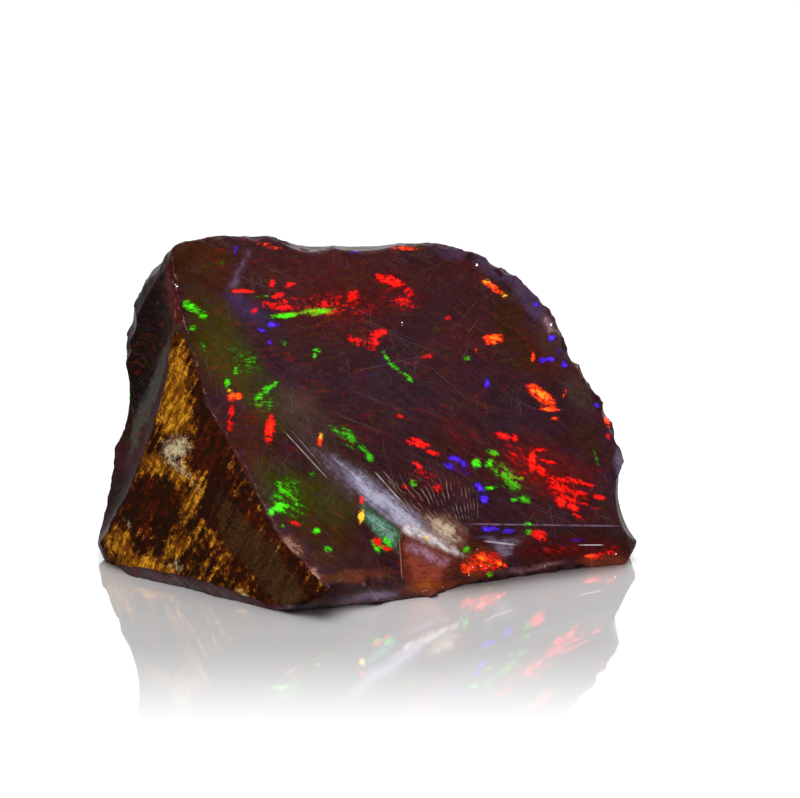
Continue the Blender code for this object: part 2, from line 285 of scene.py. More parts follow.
def writePoints(mesh, points):
    mesh.vertices.foreach_set("co", (points * mm).ravel())
    mesh.update()


def capDepth(points, scar):
    # Signed distance from a scar's ellipsoid, below zero inside it, and the way out of it
    centre, axes, radii = (np.array(part) for part in capFrame(*scar))
    local = (points - centre) @ axes / radii
    reach = np.linalg.norm(local, axis=1) + 1e-9
    slope = (local / radii) @ axes.T / reach[:, None]
    steep = np.linalg.norm(slope, axis=1) + 1e-9
    return (reach - 1) / steep, slope / steep[:, None]


def smoothScars(points):
    # Sets the skin of each scar on its true ellipsoid, and raises the faint rings of the blow on it
    nearest = np.full(len(points), stoneMake["scarReach"])
    shift = np.zeros_like(points)
    spacing, height = stoneMake["ripple"]
    drift, driftLength = stoneMake["rippleDrift"]
    for scar in flakeScars.values():
        gap, way = capDepth(points, scar)
        closer = np.abs(gap) < nearest
        middle, along, halfLength = scar[0], scar[2], scar[3]
        back = np.array(Vector(along).normalized()) * halfLength * stoneMake["blowAway"]
        rings = np.linalg.norm(points - (np.array(middle) - back), axis=1)
        wave = height * np.sin(2 * math.pi * rings / spacing + drift * np.sin(rings / driftLength))
        nearest[closer] = np.abs(gap[closer])
        shift[closer] = way[closer] * (wave - gap)[closer][:, None]
    return points + shift


def nickRims(points):
    # Knocks small nicks off the rims by pushing the skin out of ellipsoids that stand on them
    draw = np.random.default_rng(stoneMake["seed"])
    small, large = stoneMake["nickSize"]
    middleOfStone = np.array(stoneMake["nickFrom"])
    for name, rim in nickedRims.items():
        growth = stoneMake["nickGrowth"].get(name, 1.0)
        for start, end in zip(rim, rim[1:]):
            first, last = np.array(blockCorners[start]), np.array(blockCorners[end])
            count = int(np.linalg.norm(last - first) / stoneMake["nickSpacing"])
            for step in range(count):
                share = (step + draw.uniform(0, 1)) / count
                guess = first + (last - first) * share
                place = points[np.argmin(np.sum((points - guess) ** 2, axis=1))]
                away = place - middleOfStone
                away = away / np.linalg.norm(away) + draw.normal(0, stoneMake["nickLean"], 3)
                half = growth * (small + (large - small) * draw.uniform(0, 1) ** 2)
                along = draw.normal(0, 1, 3)
                long = half * draw.uniform(*stoneMake["nickStretch"])
                middle = place - away * stoneMake["nickSink"]
                gap, way = capDepth(points, (middle, away, along, long, half, half * stoneMake["nickDepth"]))
                inside = gap < 0
                points[inside] -= way[inside] * gap[inside][:, None]
    return points


def swell(place, waves, offset):
    return sum(rise * noise.noise((place + Vector((offset,) * 3)) / across) for across, rise in waves)


def rindShare(place):
    # 1 where the rind lies and 0 on bare opal, with a frayed border about a millimetre wide
    across, reach = stoneMake["rindFray"]
    fray = reach * noise.noise(place / across)
    share = 0.0
    for facing, reach in stoneMake["rinds"].values():
        depth = reach - place.dot(Vector(facing).normalized())
        share = max(share, stoneMake["rindThick"] + fray - depth)
    return min(share, 1.0)


def weather(points, normals):
    shares = np.zeros(len(points))
    moved = points.copy()
    across, start, depth = stoneMake["rindPits"]
    for index, point in enumerate(points):
        place = Vector(point)
        share = rindShare(place)
        lumps = swell(place, stoneMake["rindLumps"], 31.0)
        pits = -depth * max(noise.noise(place / across + Vector((9.0, 4.0, 2.0))) - start, 0.0)
        faint = swell(place, stoneMake["skinWaves"], 7.0)
        shares[index] = share
        moved[index] += normals[index] * (share * (lumps + pits) + (1 - share) * faint)
    return moved, shares


def grindBase(mesh):
    whole = list(mesh.verts) + list(mesh.edges) + list(mesh.faces)
    level = Vector((0.0, 0.0, stoneMake["shave"] * mm))
    down = Vector((0.0, 0.0, -1.0))
    cut = bmesh.ops.bisect_plane(mesh, geom=whole, plane_co=level, plane_no=down, clear_outer=True)
    rim = [item for item in cut["geom_cut"] if isinstance(item, bmesh.types.BMEdge)]
    bmesh.ops.holes_fill(mesh, edges=rim, sides=0)
    bmesh.ops.remove_doubles(mesh, verts=mesh.verts, dist=stoneMake["weld"] * mm)
    bmesh.ops.triangulate(mesh, faces=mesh.faces)
    bmesh.ops.delete(mesh, geom=foldedFlaps(mesh), context="FACES")
    bmesh.ops.recalc_face_normals(mesh, faces=mesh.faces)


def foldedFlaps(mesh):
    # Two faces on the same three points are a sliver that closed on itself
    sharing = {}
    for face in mesh.faces:
        sharing.setdefault(frozenset(face.verts), []).append(face)
    return [face for faces in sharing.values() if len(faces) > 1 for face in faces]


def buildStone():
    stone = objectFrom("opal_stone", blockMesh())
    quick = 0
    flakes = {"flake_" + name: (scar, stoneMake["flakeDetail"][quick]) for name, scar in flakeScars.items()}
    chips = {"chip_" + name: (chipScar(chip), stoneMake["chipDetail"]) for name, chip in rimChips.items()}
    cutters = [strikeOff(stone, name, *cut) for name, cut in (flakes | chips).items()]
    settle(stone)
    for cutter in cutters:
        bpy.data.meshes.remove(cutter.data)
    skin = stone.modifiers.new("fuse", "REMESH")
    skin.mode = "VOXEL"
    skin.voxel_size = stoneMake["cell"][quick] * mm
    settle(stone)
    print("block struck and fused:", len(stone.data.vertices), "points")
    points = readPoints(stone.data)[0]
    writePoints(stone.data, nickRims(smoothScars(points)))
    points, shares = weather(*readPoints(stone.data))
    writePoints(stone.data, points)
    keep = stone.data.attributes.new("rindShare", "FLOAT", "POINT")
    keep.data.foreach_set("value", shares)
    mesh = bmesh.new()
    mesh.from_mesh(stone.data)
    everyWay = {"use_axis_x": True, "use_axis_y": True, "use_axis_z": True}
    bmesh.ops.smooth_vert(mesh, verts=mesh.verts, factor=stoneMake["smoothing"], **everyWay)
    grindBase(mesh)
    for face in mesh.faces:
        face.smooth = face.normal.z > stoneMake["baseFacing"]
    mesh.to_mesh(stone.data)
    mesh.free()
    print("rims nicked, rind weathered, base ground")
    return stone


def moveToFrame(stone):
    # The box of the new skin is set on the box of the CAD node: middle on middle, foot on foot
    points = readPoints(stone.data)[0]
    low, high = points.min(axis=0), points.max(axis=0)
    nodeLow, nodeHigh = np.array(stoneLow) / mm, np.array(stoneHigh) / mm
    shift = (nodeLow + nodeHigh - low - high) / 2
    shift[2] = nodeLow[2] - low[2]
    stone.data.transform(Matrix.Translation(Vector(shift) * mm))


def tint(red, green, blue):
    # From the eye's 0-255 to the light's 0-1
    def light(part):
        return ((part / 255 + 0.055) / 1.055) ** 2.4 if part > 10 else part / 3294

    return light(red), light(green), light(blue)


# Mineral colours of the stone.
# Not all of them are mineral: the hazy tone is a painted sheen, slate a painted highlight, ash a painted
# reflection of the floor on the underside and shade a painted shade.
stoneTones = {
    "plum": tint(46, 21, 24),
    "dusk": tint(42, 25, 33),
    # The hazy tone is a painted sheen: soft reflected light laid on as a colour.
    "sheenHaze": tint(62, 48, 72),
    "smoke": tint(62, 46, 40),
    "umber": tint(50, 24, 8),
    "oxblood": tint(66, 14, 10),
    "wine": tint(98, 14, 10),
    "moss": tint(50, 50, 6),
    "lilac": tint(112, 98, 124),
    "rust": tint(112, 50, 24),
    "rose": tint(142, 96, 100),
    # Slate is a painted highlight, the narrow gleam along the left hollow.
    "slate": tint(54, 56, 48),
    # Ash is a painted reflection of the white floor on the faces that look down.
    "ash": tint(60, 51, 53),
    # Painted shade for the dark left end.
    "shade": tint(15, 7, 4),
}

# Where each colour lies on the side that the photograph shows, laid one over the other in this order:
# colour, pixel across and down, half length and half width in mm, lean in degrees, share.
toneZones = {
    "crown": ("umber", 205, 265, 4.0, 2.6, -10, 0.9),
    "leftSide": ("umber", 208, 340, 5.0, 2.0, -75, 0.85),
    "topMiddle": ("oxblood", 350, 280, 9.5, 3.0, 0, 0.4),
    "upperFace": ("oxblood", 360, 320, 5.0, 2.0, 0, 0.4),
    "fan": ("dusk", 268, 345, 4.5, 2.6, -50, 0.6),
    "fanMoss": ("moss", 222, 345, 4.6, 2.4, -62, 0.6),
    "fanLow": ("moss", 265, 400, 3.6, 2.0, -50, 0.5),
    "fanFoot": ("smoke", 305, 415, 3.4, 1.7, -45, 0.7),
    "middle": ("dusk", 430, 385, 7.0, 4.0, 0, 0.6),
    # rimTop, rimTopLeft and rimRight lay the painted sheen along the top and right rims.
    "rimTop": ("sheenHaze", 498, 268, 2.8, 1.0, -28, 0.8),
    "rimTopLeft": ("sheenHaze", 450, 252, 2.2, 0.6, -15, 0.6),
    "rimRight": ("sheenHaze", 532, 302, 2.6, 0.9, -52, 0.85),
    "rimMiddle": ("smoke", 552, 340, 2.6, 1.2, -70, 0.5),
    "brownUpper": ("umber", 510, 318, 2.8, 1.4, -75, 0.8),
    "brownLower": ("umber", 522, 358, 1.8, 1.5, -60, 0.7),
    "rimLow": ("smoke", 578, 392, 1.8, 1.1, -50, 0.6),
    "lowRight": ("wine", 548, 468, 4.4, 2.2, -30, 0.45),
    "lowEdge": ("umber", 588, 440, 2.4, 1.3, -60, 0.45),
    "rimViolet": ("lilac", 619, 467, 1.3, 0.4, -80, 0.75),
    "belowHackles": ("dusk", 450, 488, 4.2, 2.2, -30, 0.5),
    "troughBrown": ("umber", 250, 440, 3.2, 2.2, -45, 0.7),
    "troughGreen": ("moss", 290, 494, 3.6, 2.2, -45, 0.85),
    "troughLow": ("umber", 330, 545, 2.8, 2.0, -30, 0.8),
    "troughMoss": ("moss", 330, 505, 3.0, 1.6, -60, 0.6),
    "lip": ("rust", 352, 576, 3.6, 0.5, 3, 0.5),
    "scarFoot": ("rust", 436, 586, 3.0, 0.6, 10, 0.8),
    "ledge": ("oxblood", 570, 548, 5.8, 1.3, 0, 0.8),
    # ledgeLine is a painted highlight along the ledge below the crease.
    "ledgeLine": ("lilac", 500, 541, 1.8, 0.25, -5, 0.8),
    "ledgeRim": ("rose", 530, 568, 3.2, 0.25, 4, 0.55),
    "ledgeEnd": ("rust", 606, 561, 2.6, 0.7, 6, 0.7),
    "hearth": ("rust", 477, 562, 1.9, 1.3, 8, 0.85),
    # shoulder, shoulderLow and hollowFoot are painted shade on the left end.
    "shoulder": ("shade", 148, 330, 8.0, 2.4, 80, 0.95),
    "redFacet": ("oxblood", 172, 300, 2.8, 0.6, -82, 0.9),
    "shoulderLow": ("shade", 134, 400, 5.0, 1.3, 80, 0.9),
    # hollow and hollowLow are a painted highlight along the edge of the left hollow.
    "hollow": ("slate", 160, 375, 4.6, 0.40, 70, 0.85),
    "hollowLow": ("slate", 138, 425, 3.0, 0.5, 74, 0.8),
    "hollowFoot": ("shade", 116, 500, 3.0, 0.9, 80, 0.85),
    "toe": ("umber", 103, 552, 2.0, 0.8, 85, 0.7),
    # underStrip, underFacet, underMiddle and underLeft are the painted reflection of the floor on the
    # underside.
    "underStrip": ("ash", 190, 588, 6.4, 0.9, -14, 0.9),
    "underFacet": ("ash", 350, 600, 4.6, 0.75, 8, 0.9),
    "underMiddle": ("lilac", 366, 598, 2.6, 0.35, 8, 0.6),
    "underLeft": ("ash", 300, 607, 2.6, 0.4, 8, 0.8),
}

# Fire: pixel across and down, half length and half width in mm, lean in degrees, glow. A low glow is a veil
# that shows only as scattered flecks.
fireMarks = {
    "red": {
        "needleTop": (243, 291, 1.25, 0.17, 0, 1.3), "sparkTall": (273, 283, 0.5, 0.3, 80, 1.1),
        "sparkWide": (290, 285, 0.7, 0.3, 15, 1.2), "sparkLow": (278, 295, 0.7, 0.25, 8, 1.1),
        "emberLeft": (254, 311, 0.5, 0.3, 25, 0.9), "emberRow": (285, 307, 1.1, 0.45, -5, 0.9),
        "emberVeil": (272, 304, 2.4, 0.8, 0, 0.5), "rose": (325, 302, 0.5, 0.33, 30, 1.0),
        "roseVeil": (334, 299, 1.5, 0.5, 0, 0.45), "flareLeft": (352, 296, 0.9, 0.6, 40, 0.85),
        "flare": (391, 281, 1.2, 0.5, -15, 1.6), "flareTop": (379, 276, 0.45, 0.27, 0, 1.1),
        "flareRight": (408, 292, 0.8, 0.5, -45, 0.9), "flareTail": (404, 302, 1.1, 0.5, -25, 1.0),
        "hornTop": (379, 333, 0.85, 0.35, 10, 1.4), "hornStem": (375, 341, 0.6, 0.4, 85, 1.2),
        "hornSide": (355, 341, 1.0, 0.5, -20, 0.85), "hornLow": (372, 348, 0.6, 0.35, 0, 0.8),
        "lone": (448, 318, 0.38, 0.32, 0, 0.8), "duskEmber": (428, 356, 0.95, 0.4, 10, 0.65),
        "tearTop": (231, 411, 0.6, 0.3, 88, 1.2), "tearLow": (230, 424, 0.8, 0.4, 88, 0.8),
        "blade": (270, 429, 1.3, 0.42, 84, 1.6), "berry": (400, 416, 0.36, 0.24, -20, 0.9),
        "midTop": (418, 443, 1.2, 0.42, -15, 1.3), "midTail": (433, 453, 0.7, 0.28, -20, 1.0),
        "midVeil": (425, 477, 2.6, 1.5, -40, 0.45), "midBits": (419, 466, 0.8, 0.28, -45, 0.85),
        "midLow": (405, 486, 0.4, 0.28, 0, 1.0), "midEnd": (438, 489, 0.5, 0.4, -40, 0.8),
        "tongue": (505, 436, 1.2, 0.34, -8, 1.2), "tongueEnd": (514, 438, 0.5, 0.36, 0, 1.1),
        "mastArm": (540, 450, 1.1, 0.19, 0, 1.1), "mast": (532, 460, 1.2, 0.36, 88, 1.5),
        "mastFoot": (541, 471, 0.7, 0.4, -45, 1.1), "mastVeil": (518, 455, 2.1, 1.1, -25, 0.55),
        "rayA": (551, 478, 0.9, 0.27, -35, 1.0), "rayB": (570, 480, 1.3, 0.22, -8, 1.2),
        "rayC": (577, 492, 1.1, 0.24, -8, 1.1), "rayD": (561, 501, 0.65, 0.5, -40, 1.5),
        "rayE": (573, 507, 0.65, 0.4, -30, 1.3), "rayF": (599, 497, 0.7, 0.24, -10, 1.0),
        "rayG": (578, 516, 0.8, 0.25, -30, 0.9), "rayVeil": (563, 490, 3.1, 1.5, -30, 0.6),
        "upperVeil": (335, 306, 5.4, 1.9, -4, 0.48), "centreVeil": (400, 300, 3.6, 1.8, -10, 0.40),
        "emberWide": (285, 304, 2.6, 0.9, 4, 0.6), "hornWide": (366, 341, 1.6, 0.8, 0, 0.55),
        "eastVeil": (590, 480, 1.8, 2.8, -60, 0.36), "lowVeil": (530, 470, 4.6, 2.2, -28, 0.42),
        "westVeil": (255, 415, 2.0, 1.6, 0, 0.34), "ledgeVeil": (560, 550, 4.4, 0.9, 0, 0.40),
        "hearthRed": (484, 562, 2.2, 1.1, 8, 0.85), "knobRed": (612, 552, 1.0, 0.7, 0, 0.6),
        "rayTop": (548, 462, 1.2, 0.14, -12, 1.0),
        "rayH": (585, 484, 1.2, 0.13, -14, 0.9), "rayI": (590, 506, 1.1, 0.13, -20, 0.8),
        "rayJ": (556, 486, 1.5, 0.14, -32, 1.1), "rayK": (568, 497, 1.3, 0.15, -26, 1.0),
        "poolRed": (295, 523, 0.85, 0.28, -15, 0.8), "creaseRed": (540, 535, 0.85, 0.5, -15, 1.1),
        "lipRed": (378, 542, 0.5, 0.35, -45, 1.2), "lipTail": (388, 549, 0.6, 0.24, -20, 1.1),
        "bandRed": (361, 500, 0.4, 0.4, -45, 1.0), "endRed": (600, 556, 0.8, 0.4, 0, 0.9),
        "rimRed": (608, 436, 0.6, 0.28, -70, 0.6),
    },
    "orange": {
        "torch": (235, 397, 0.7, 0.42, 10, 1.4), "candle": (320, 441, 0.55, 0.28, 85, 1.1),
        "caterpillar": (493, 287, 1.25, 0.3, -38, 1.2), "emberHeart": (493, 339, 0.85, 0.5, 0, 1.6),
        "wick": (533, 357, 0.5, 0.22, 85, 1.1), "furnace": (541, 395, 1.3, 0.55, -35, 1.7),
        "furnaceBar": (549, 409, 0.95, 0.24, -5, 1.2), "furnaceDash": (555, 418, 0.45, 0.2, 0, 0.9),
        "feather": (564, 393, 0.5, 0.2, 80, 1.0), "rimFlame": (607, 421, 0.65, 0.27, -65, 1.0),
        "rimTop": (404, 248, 1.9, 0.25, -3, 0.7), "rimTopLeft": (268, 246, 1.6, 0.33, -15, 0.6),
        "hearthTop": (480, 560, 1.8, 0.9, 10, 0.62), "hearthLeft": (467, 569, 0.7, 0.6, 0, 0.95),
        "hearthMiddle": (482, 558, 0.8, 0.5, 0, 1.1), "hearthRight": (500, 563, 0.75, 0.3, -20, 1.0),
        "creaseEnd": (590, 557, 0.6, 0.35, 0, 0.9), "midSpark": (476, 350, 0.35, 0.25, 80, 0.6),
    },
    "yellow": {
        "flint": (361, 516, 0.65, 0.28, 80, 1.4), "candleTip": (321, 436, 0.32, 0.22, 80, 1.0),
        "limeTip": (487, 281, 0.3, 0.26, 0, 0.9), "tipEnd": (505, 296, 0.3, 0.26, 0, 0.9),
        "bandSpark": (427, 537, 0.5, 0.3, -20, 0.8), "torchRim": (229, 391, 0.35, 0.22, 0, 0.9),
    },
    "green": {
        "leftBand": (190, 306, 0.9, 0.42, -35, 1.3), "leftBandEnd": (202, 314, 0.6, 0.45, -40, 1.1),
        "leftSpot": (193, 328, 0.45, 0.3, 0, 0.8), "streakNear": (283, 315.5, 1.4, 0.25, 5, 1.6),
        "streakFar": (318, 311.5, 1.6, 0.33, 3, 1.6), "dotBelow": (284, 343, 0.35, 0.26, 0, 0.9),
        "hook": (317, 350, 0.4, 0.3, 0, 1.1), "hookFoot": (315, 356, 0.3, 0.22, 80, 0.9),
        "stem": (236, 371, 0.5, 0.28, 70, 1.0), "stemFoot": (227, 383, 0.5, 0.28, 80, 1.0),
        "knotA": (259, 397, 0.45, 0.36, 0, 1.2), "knotB": (267, 390, 0.5, 0.34, 30, 1.1),
        "knotC": (274, 385, 0.5, 0.3, 40, 1.0), "knotD": (268, 405, 0.5, 0.26, -60, 0.9),
        "foldDot": (337, 430, 0.28, 0.28, 0, 0.9), "foldPatch": (348, 434, 0.9, 0.5, -45, 0.9),
        "foldVeil": (335, 430, 1.4, 0.6, -30, 0.5), "foldLow": (369, 457, 0.6, 0.42, -60, 1.1),
        "foldLowVeil": (362, 448, 0.9, 0.35, -45, 0.65), "pondSlope": (280, 488, 0.95, 0.36, -60, 1.1),
        "pondHeart": (281, 507, 0.7, 0.5, 10, 1.7), "pondFoot": (271, 512, 0.4, 0.33, 0, 1.3),
        "pondVeil": (286, 494, 2.2, 1.5, 50, 0.6), "duck": (316, 531, 0.55, 0.28, -15, 1.2),
        "lime": (282, 526, 0.28, 0.25, 0, 0.9), "dropA": (297, 505, 0.28, 0.24, 0, 0.8),
        "dropB": (312, 475, 0.28, 0.25, 0, 0.9), "mossDot": (328, 549, 0.5, 0.4, 0, 0.7),
        "hairTop": (386, 356, 0.65, 0.19, -60, 1.0), "hairMiddle": (395, 367, 1.0, 0.3, -40, 0.8),
        "hairLow": (408, 377, 0.8, 0.22, -45, 0.9), "rightDot": (467, 358, 0.45, 0.4, 0, 0.7),
        "gemA": (476, 464, 0.5, 0.45, 80, 1.3), "gemB": (489, 463, 0.42, 0.4, 0, 1.3),
        "gemTop": (493, 453, 0.7, 0.32, -20, 0.9), "gemVeil": (508, 478, 2.0, 0.9, -45, 0.8),
        "leftVeil": (245, 360, 3.4, 1.7, -50, 0.42), "leftVeilLow": (262, 402, 2.0, 1.2, 0, 0.5),
        "pondWide": (292, 500, 3.4, 2.0, -50, 0.42), "foldWide": (352, 440, 2.6, 1.2, -40, 0.40),
        "farVeil": (440, 350, 5.0, 2.2, 0, 0.20), "jadeVeil": (384, 545, 1.3, 0.7, -50, 0.5),
        "gemEnd": (525, 499, 0.8, 0.5, -30, 0.8), "needleA": (490, 488, 0.75, 0.19, 8, 1.1),
        "needleB": (521, 478, 0.7, 0.19, 5, 1.1), "needleC": (514, 500, 0.4, 0.22, 0, 0.9),
        "creaseTop": (528, 524, 0.42, 0.22, 0, 1.1), "creaseLow": (529, 532, 0.38, 0.28, 0, 1.2),
        "jadeA": (387, 541, 0.75, 0.28, -52, 1.1), "jadeB": (376, 547, 0.75, 0.26, -58, 1.1),
        "rimStem": (596, 457, 1.2, 0.16, -72, 0.7), "ledgeDot": (467, 550, 0.38, 0.35, 0, 1.2),
        "ledgeDotLow": (490, 564, 0.42, 0.27, 0, 1.1), "ledgeFoot": (490, 574, 0.35, 0.24, 0, 1.0),
        "hackleDot": (413, 483, 0.36, 0.33, 0, 1.2), "crownMoss": (222, 262, 0.35, 0.3, 0, 0.7),
        "leafLeft": (203, 345, 0.9, 0.35, -60, 0.5), "leafLine": (262, 296, 1.6, 0.17, 4, 0.55),
    },
    "violet": {
        "crownPin": (236, 251, 0.5, 0.2, 88, 1.1), "pansy": (273, 325, 0.55, 0.32, 0, 1.3),
        "pansyTail": (262, 331, 0.6, 0.24, -20, 0.9), "pansyDot": (270, 342, 0.3, 0.26, 0, 0.8),
        "chainTop": (552, 338, 0.4, 0.3, 0, 1.1), "chainA": (543, 360, 0.4, 0.3, 0, 1.0),
        "chainB": (551, 359, 0.4, 0.28, 0, 1.0), "chainC": (564, 365, 0.35, 0.27, 0, 1.1),
        "star": (487, 383, 0.5, 0.24, 88, 1.1), "meshA": (455, 458, 0.7, 0.3, -10, 1.0),
        "meshB": (449, 466, 0.7, 0.3, -30, 1.0), "meshC": (464, 463, 0.35, 0.3, 0, 1.0),
        "spurTop": (479, 487, 0.5, 0.35, -60, 1.3), "spurLow": (484, 498, 0.55, 0.35, -65, 1.4),
        "lineLeft": (490, 529, 0.95, 0.25, 0, 1.2), "lineRight": (508, 531, 0.7, 0.25, 0, 1.0),
        "rimDot": (536, 305, 0.35, 0.27, 0, 0.8), "rimDotLow": (597, 405, 0.3, 0.27, 0, 0.8),
        "meshVeil": (462, 468, 2.0, 1.0, -35, 0.36), "chainVeil": (560, 352, 1.4, 0.8, -50, 0.34),
        "ledgeFaint": (578, 540, 1.1, 0.25, 0, 0.55), "topFaint": (355, 252, 0.6, 0.25, 0, 0.6),
    },
    # The white marks are painted glints and sparkles, points of light on crushed edges, given out by
    # emission.
    "white": {
        "crownGlint": (177, 286, 0.2, 0.2, 0, 1.3), "faceGlint": (402, 323, 0.24, 0.2, 0, 1.2),
        "topRimGlint": (477, 265, 0.22, 0.2, 0, 1.3), "rightRimGlint": (551, 325, 0.22, 0.2, 0, 1.3),
        "rimGlint": (574, 361, 0.35, 0.26, 0, 1.0), "edgeGlint": (209, 418, 0.2, 0.2, 0, 1.0),
        "ledgeGlint": (478, 550, 0.16, 0.14, 0, 1.3), "hearthGlint": (468, 575, 0.16, 0.13, 0, 1.3),
        "hearthGlintRight": (502, 573, 0.15, 0.14, 0, 1.2), "knobGlint": (616, 553, 0.17, 0.15, 0, 1.3),
        "scarGlint": (427, 555, 0.5, 0.24, -10, 0.8), "ledgeSparkle": (536, 567, 2.8, 0.4, 4, 0.46),
        "knobSparkle": (616, 556, 0.9, 0.6, 0, 0.42), "hearthSparkle": (480, 568, 1.7, 0.9, 0, 0.30),
        "borderSparkle": (294, 546, 1.3, 0.6, -40, 0.45), "footSparkle": (440, 588, 2.4, 0.3, 8, 0.42),
    },
}

# Patches of the rind on the side that the photograph shows: pixel across and down, half sizes in mm,
# lean in degrees, share.
rindPatches = {
    "ochre": {
        "top": (176, 372, 2.8, 1.1, -80, 0.8), "upper": (176, 412, 2.6, 2.0, -60, 0.85),
        "left": (150, 462, 1.4, 0.9, 0, 0.8), "middle": (180, 474, 1.8, 0.8, 0, 0.85),
        "slope": (196, 497, 2.2, 0.9, 60, 0.9), "lower": (180, 545, 2.2, 0.8, 40, 0.7),
        "foot": (150, 568, 3.2, 0.9, -12, 0.85), "toe": (118, 541, 1.0, 0.9, 0, 0.8),
        "edge": (236, 500, 1.6, 0.3, 80, 0.5), "ridge": (242, 594, 1.8, 0.4, -40, 0.8),
        "rightFoot": (205, 565, 1.3, 0.6, 0, 0.5), "across": (208, 530, 2.0, 0.5, -55, 0.6),
    },
    "chalk": {
        "heart": (177, 448, 1.5, 1.1, 20, 1.0), "below": (180, 468, 1.4, 0.5, -30, 0.6),
        "trail": (196, 486, 1.2, 0.35, -50, 0.45),
        "foot": (176, 565, 1.2, 0.5, 0, 0.6), "ridge": (244, 596, 1.5, 0.3, -40, 0.8),
        "toe": (126, 522, 0.9, 0.3, -35, 0.6),
    },
    "dark": {
        "right": (209, 448, 3.2, 1.2, 85, 1.0), "rightLow": (228, 515, 2.4, 1.7, -50, 0.9),
        "wine": (150, 502, 2.2, 1.6, 0, 1.0), "top": (200, 405, 1.8, 0.8, 80, 0.9),
    },
    "bark": {
        "slope": (252, 548, 3.8, 1.5, -42, 1.3), "foot": (285, 588, 2.4, 1.3, -40, 1.3),
        "top": (226, 505, 1.8, 1.0, -60, 0.8),
    },
}

# The rind ends along this edge, from the crown down to the front foot, in pixels.
rindBorder = {
    "crown": (173, 256), "upper": (177, 295), "shoulder": (191, 345), "waist": (209, 406),
    "hip": (247, 471), "knee": (281, 536), "foot": (333, 592),
}
rindFoot = {"left": (112, 566), "middle": (163, 573), "right": (212, 584), "end": (267, 606)}
rindTop = {"full": 350, "none": 318}  # pixel heights between which it fades out towards the crown

# Fire on the sides that the photograph doesn't show: clusters of flecks, drawn by chance.
hiddenFire = {
    "seed": 5,
    "clusters": 46,
    "flecks": (3, 10),
    "spread": 1.7,
    "colours": {"red": 0.40, "orange": 0.13, "yellow": 0.03, "green": 0.30, "violet": 0.14},
    "long": (0.25, 1.3),
    "wide": (0.14, 0.45),
    "glow": (0.45, 1.5),
    "veil": (1.2, 3.2),
    "veilGlow": (0.22, 0.42),
    "strayGrain": 0.25,
}

# How the marks are laid: each swirl is its size across, its offset and its reach.
markMake = {
    "swirl": (1.6, 0, 0.35),
    "wideSwirl": (5.0, 40, 1.0),
    "raggedSwirl": (0.55, 0, 0.16),
    "seen": (-0.02, 0.16),  # where a face starts to be in view, and over how much it comes fully into view
    "zoneEdge": (0.14, 0.50),
    "fireShake": 0.18,
    "rindSpread": 1.6,
    "bareFrom": 3,
    "borderSwing": 0.5,
    "borderWidth": 0.5,
    "topSwing": 2.0,
    "footSwing": 0.4,
    "footWidth": 0.3,
}


def ovalField(u, v, mark):
    across, down, halfLong, halfWide, lean, strength = mark
    middleU, middleV = sight.fromPixel(across, down)
    turn = math.radians(lean)
    run = (u - middleU) * math.cos(turn) + (v - middleV) * math.sin(turn)
    side = (v - middleV) * math.cos(turn) - (u - middleU) * math.sin(turn)
    return strength * np.exp(-1.2 * ((run / halfLong) ** 2 + (side / halfWide) ** 2))


def addHiddenFire(fields, points, normals, hidden):
    # Long flecks lie along one grain inside a cluster, as they do in the stone's own layers
    draw = np.random.default_rng(hiddenFire["seed"])
    names = list(hiddenFire["colours"])
    chances = np.array(list(hiddenFire["colours"].values()))
    away = np.flatnonzero(hidden > 0.6)
    for cluster in range(hiddenFire["clusters"]):
        middle = points[draw.choice(away)]
        colour = draw.choice(names, p=chances / chances.sum())
        grain = draw.normal(0, 1, 3)
        wide = draw.uniform(*hiddenFire["veil"])
        near = np.sum((points - middle) ** 2, axis=1) / wide**2
        fields[colour] += draw.uniform(*hiddenFire["veilGlow"]) * np.exp(-near) * hidden
        for fleck in range(draw.integers(*hiddenFire["flecks"])):
            guess = middle + draw.normal(0, hiddenFire["spread"], 3)
            index = np.argmin(np.sum((points - guess) ** 2, axis=1))
            out = normals[index]
            run = grain + draw.normal(0, hiddenFire["strayGrain"], 3)
            run = run - run @ out * out
            run /= np.linalg.norm(run)
            offset = points - points[index]
            halfLong, halfWide = draw.uniform(*hiddenFire["long"]), draw.uniform(*hiddenFire["wide"])
            along = offset @ run / halfLong
            side = offset @ np.cross(out, run) / halfWide
            depth = offset @ out / halfLong
            glow = draw.uniform(*hiddenFire["glow"])
            fields[colour] += glow * np.exp(-1.5 * (along**2 + side**2 + depth**2)) * hidden


def ramp(values, start, length):
    return np.clip((values - start) / length, 0, 1)


def swirl(points, across, offset, reach):
    shift = Vector((offset, 0, 0))
    return np.array([noise.noise_vector(Vector(point) / across + shift) for point in points]) * reach


def convexity(mesh, points, normals):
    # Above zero on ridges and below zero in hollows, spread a little over the neighbours
    ends = np.empty(len(mesh.edges) * 2, dtype=np.int64)
    mesh.edges.foreach_get("vertices", ends)
    first, last = ends.reshape(-1, 2).T
    apart = points[first] - points[last]
    long = np.linalg.norm(apart, axis=1) + 1e-9
    bend = np.bincount(first, np.sum(apart * normals[first], axis=1) / long, len(points))
    bend += np.bincount(last, -np.sum(apart * normals[last], axis=1) / long, len(points))
    count = np.bincount(first, minlength=len(points)) + np.bincount(last, minlength=len(points))
    bend /= count
    near = np.bincount(first, bend[last], len(points)) + np.bincount(last, bend[first], len(points))
    return 0.4 * bend + 0.6 * near / count


def keepColour(mesh, name, columns):
    layer = mesh.attributes.new(name, "FLOAT_COLOR", "POINT")
    values = np.ones((len(mesh.vertices), 4), dtype=np.float32)
    for index, column in enumerate(columns):
        values[:, index] = column
    layer.data.foreach_set("color", values.ravel())


